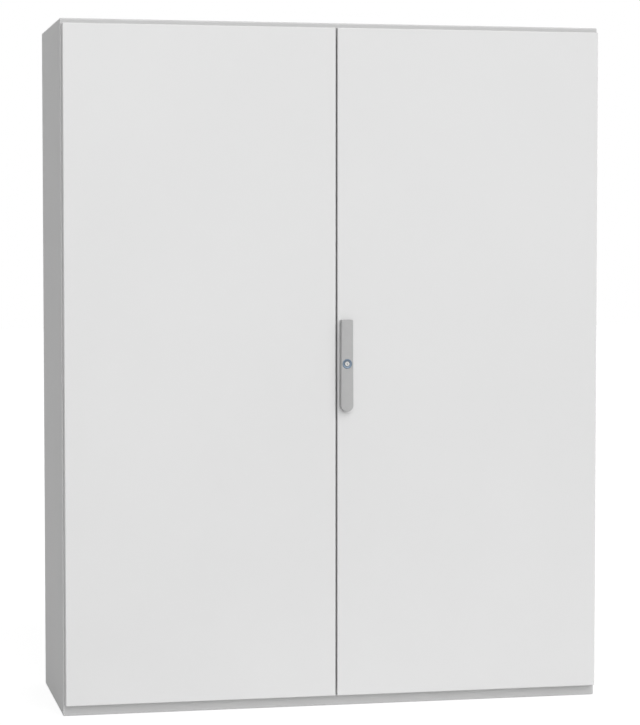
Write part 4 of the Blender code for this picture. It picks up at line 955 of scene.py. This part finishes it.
def build_lock_core():
    """The lock's core: a bright face with a keyway, a dark rim, and its cam behind."""
    low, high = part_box("lock_insert")
    middle_x = (low.x + high.x) / 2
    bm = bmesh.new()
    add_lock_barrel(bm, middle_x, low.y, high.y, (high.x - low.x) / 2)
    centre = Vector((middle_x, 0, LOCK_Z))
    for polygon in bm.faces:
        reach = max((Vector((vert.co.x, 0, vert.co.z)) - centre).length for vert in polygon.verts)
        polygon.material_index = 0 if reach < CORE_FACE + HAIR else 1
    outline = rounded_rectangle((middle_x - CAM_HALF, low.z),
                                (middle_x + CAM_HALF, LOCK_Z + CAM_HALF), CAM_CORNER)
    ends = [[bm.verts.new((x, y, z)) for x, z in outline] for y in (high.y - CAM_SHEET, high.y)]
    join_rings(bm, *ends)
    for end in ends:
        bm.faces.new(end)
    core = new_piece("lock_core", bm, "nickel", "key_cylinder", smooth_angle=35)
    core.data.materials.append(FINISHES["lock_ring"])
    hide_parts("lock_insert")


def add_lever_shell(bm, middle_x, front, back):
    """The lever's outer skin, open at the back, with a shallow seat for the lock."""
    inward, down = LEVER_ROUND
    levels = [(0.0, back), (0.0, front + down + LEVER_SHOULDER)]
    levels += [(inward * (1 - cos(turn)), front + down * (1 - sin(turn)))
               for turn in (step * pi / 20 for step in range(11))]
    join_in_turn(bm, [[bm.verts.new((x, y, z)) for x, z in lever_outline(middle_x, shrink)]
                      for shrink, y in levels])
    seat = [(SEAT_RADIUS + SEAT_CHAMFER, 0.0), (SEAT_RADIUS, SEAT_CHAMFER), (SEAT_RADIUS, SEAT_DEPTH),
            (LOCK_HOLE, SEAT_DEPTH)]
    join_in_turn(bm, [[bm.verts.new((x, front + depth, z)) for x, z in circle(middle_x, LOCK_Z, radius, 48)]
                      for radius, depth in seat])
    rims = [edge for edge in bm.edges if edge.is_boundary
            and all(abs(vert.co.y - front) < SAME_PLACE for vert in edge.verts)]
    bmesh.ops.triangle_fill(bm, use_beauty=True, edges=rims)


def build_lever():
    """A hollow moulded lever, its back cut away above the pin so that it can swing out."""
    low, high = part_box("handle_lever")
    pin_low, pin_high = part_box("lever_pin")
    middle_x = (low.x + high.x) / 2
    bm = bmesh.new()
    add_lever_shell(bm, middle_x, low.y, high.y)
    pin_y, pin_z = (pin_low.y + pin_high.y) / 2, (pin_low.z + pin_high.z) / 2
    start = pin_z + (high.y - pin_y) * tan(LEVER_RELIEF_START)
    bmesh.ops.bisect_plane(bm, geom=[*bm.verts, *bm.edges, *bm.faces],
                           plane_co=(middle_x, high.y, start),
                           plane_no=(0.0, cos(LEVER_RELIEF), sin(LEVER_RELIEF)), clear_outer=True)
    bmesh.ops.recalc_face_normals(bm, faces=bm.faces)
    if any(polygon.normal.y > 0.9 for polygon in bm.faces):
        bmesh.ops.reverse_faces(bm, faces=bm.faces)
    bmesh.ops.solidify(bm, geom=bm.faces[:], thickness=LEVER_WALL)
    lever = new_piece("lever_cover", bm, "handle_plastic", "swing_lever", smooth_angle=40)
    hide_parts("handle_lever")


def build_lock_ring():
    """A dished ring in the lever's seat, round the lock."""
    low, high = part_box("handle_lever")
    outer, inner, under = SEAT_RADIUS - FIT_GAP, LOCK_HOLE + HAIR, SEAT_DEPTH - HAIR
    profile = [(outer, under, False), (outer, CORE_DROP, False), (outer - RING_BEVEL, 0.0, False),
               (outer - RING_FLAT, 0.0, False), (inner + RING_DISH, GROOVE_DEPTH, False),
               (inner, GROOVE_DEPTH, False), (inner, under, False)]
    ring = bmesh.new()
    add_turned(ring, profile, ((low.x + high.x) / 2, low.y, LOCK_Z), (0, 1, 0), sides=64, closed=True)
    new_piece("lock_bezel", ring, "nickel", "swing_lever", finish="lock_ring")


# ---------------------------------------------------------------- studio

def link(item):
    bpy.context.scene.collection.objects.link(item)
    return item


def shows_white(tree):
    """1 for rays that should see the white surroundings: from the camera, in gloss and in glass."""
    path = add_node(tree, "ShaderNodeLightPath").outputs
    shown = calculate(tree, "MAXIMUM", path["Is Camera Ray"], path["Is Glossy Ray"])
    return calculate(tree, "MAXIMUM", shown, path["Is Transmission Ray"])


def build_lights():
    """A white world that gives soft ambient light, a wide key from the front and a weak one behind."""
    world = bpy.data.worlds.new("studio")
    bpy.context.scene.world = world
    world.use_nodes = True
    tree = world.node_tree
    tree.nodes.clear()
    light = add_node(tree, "ShaderNodeBackground", {"Color": WHITE, "Strength": AMBIENT}).outputs[0]
    white = add_node(tree, "ShaderNodeBackground", {"Color": WHITE, "Strength": 1.0}).outputs[0]
    mixed = add_node(tree, "ShaderNodeMixShader", {0: shows_white(tree), 1: light, 2: white})
    add_node(tree, "ShaderNodeOutputWorld", {"Surface": mixed.outputs[0]})

    for name, origin, strength in (("soft_key", KEY_FROM, KEY_STRENGTH),
                                   ("rear_fill", REAR_FROM, REAR_STRENGTH)):
        light = bpy.data.lights.new(name, "SUN")
        light.energy = strength
        light.angle = LIGHT_SPREAD
        lamp = link(bpy.data.objects.new(name, light))
        lamp.rotation_euler = (-Vector(origin)).to_track_quat("-Z", "Y").to_euler()
        lamp.location = Vector(origin) * LAMP_DISTANCE


def build_floor():
    """A plain pale floor that keeps the object's shadow."""
    material = bpy.data.materials.new("studio_floor")
    material.use_nodes = True
    tree = material.node_tree
    tree.nodes.clear()
    matt = add_node(tree, "ShaderNodeBsdfDiffuse", {"Color": FLOOR_COLOUR}).outputs[0]
    shadowed = add_node(tree, "ShaderNodeBsdfDiffuse", {"Color": FLOOR_SHOWN}).outputs[0]
    glow = add_node(tree, "ShaderNodeEmission", {"Color": WHITE, "Strength": FLOOR_GLOW}).outputs[0]
    pale = add_node(tree, "ShaderNodeAddShader", {0: shadowed, 1: glow}).outputs[0]
    mixed = add_node(tree, "ShaderNodeMixShader", {0: shows_white(tree), 1: matt, 2: pale})
    add_node(tree, "ShaderNodeOutputMaterial", {"Surface": mixed.outputs[0]})
    bm = bmesh.new()
    corners = [bm.verts.new((x * FLOOR_REACH, y * FLOOR_REACH, -FLOOR_BELOW))
               for x, y in ((-1, -1), (1, -1), (1, 1), (-1, 1))]
    bm.faces.new(corners)
    mesh = bpy.data.meshes.new("floor")
    bm.to_mesh(mesh)
    bm.free()
    mesh.materials.append(material)
    link(bpy.data.objects.new("floor", mesh))


def build_camera():
    camera = bpy.data.cameras.new("camera")
    camera.lens = LENS_MM
    camera.clip_end = CAMERA_REACH
    holder = link(bpy.data.objects.new("camera", camera))
    holder.location = CAMERA_PLACE
    holder.rotation_euler = CAMERA_TURN
    bpy.context.scene.camera = holder
    bpy.context.scene.view_settings.view_transform = "Standard"


def finish_carried_nodes(nodes):
    """Gives every piece that comes with the frame the finish of its slot."""
    for node in nodes.values():
        for place in node.material_slots:
            place.material = FINISHES[place.material.name.split(".")[0]]


for item in list(bpy.data.objects):
    bpy.data.objects.remove(item)
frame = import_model()
FINISHES = make_finishes()
build_camera()
build_lights()
build_floor()
finish_carried_nodes(frame["nodes"])
build_rear_panel()
build_gland_screws()
build_gland_strips()
build_bracket_screws()
build_plate_nuts()
build_earth_studs()
for door in SIDES:
    build_door_channel(door)
    build_door_seal(door)
build_door_fixings()
build_lever()
build_lock_ring()
build_lock_core()
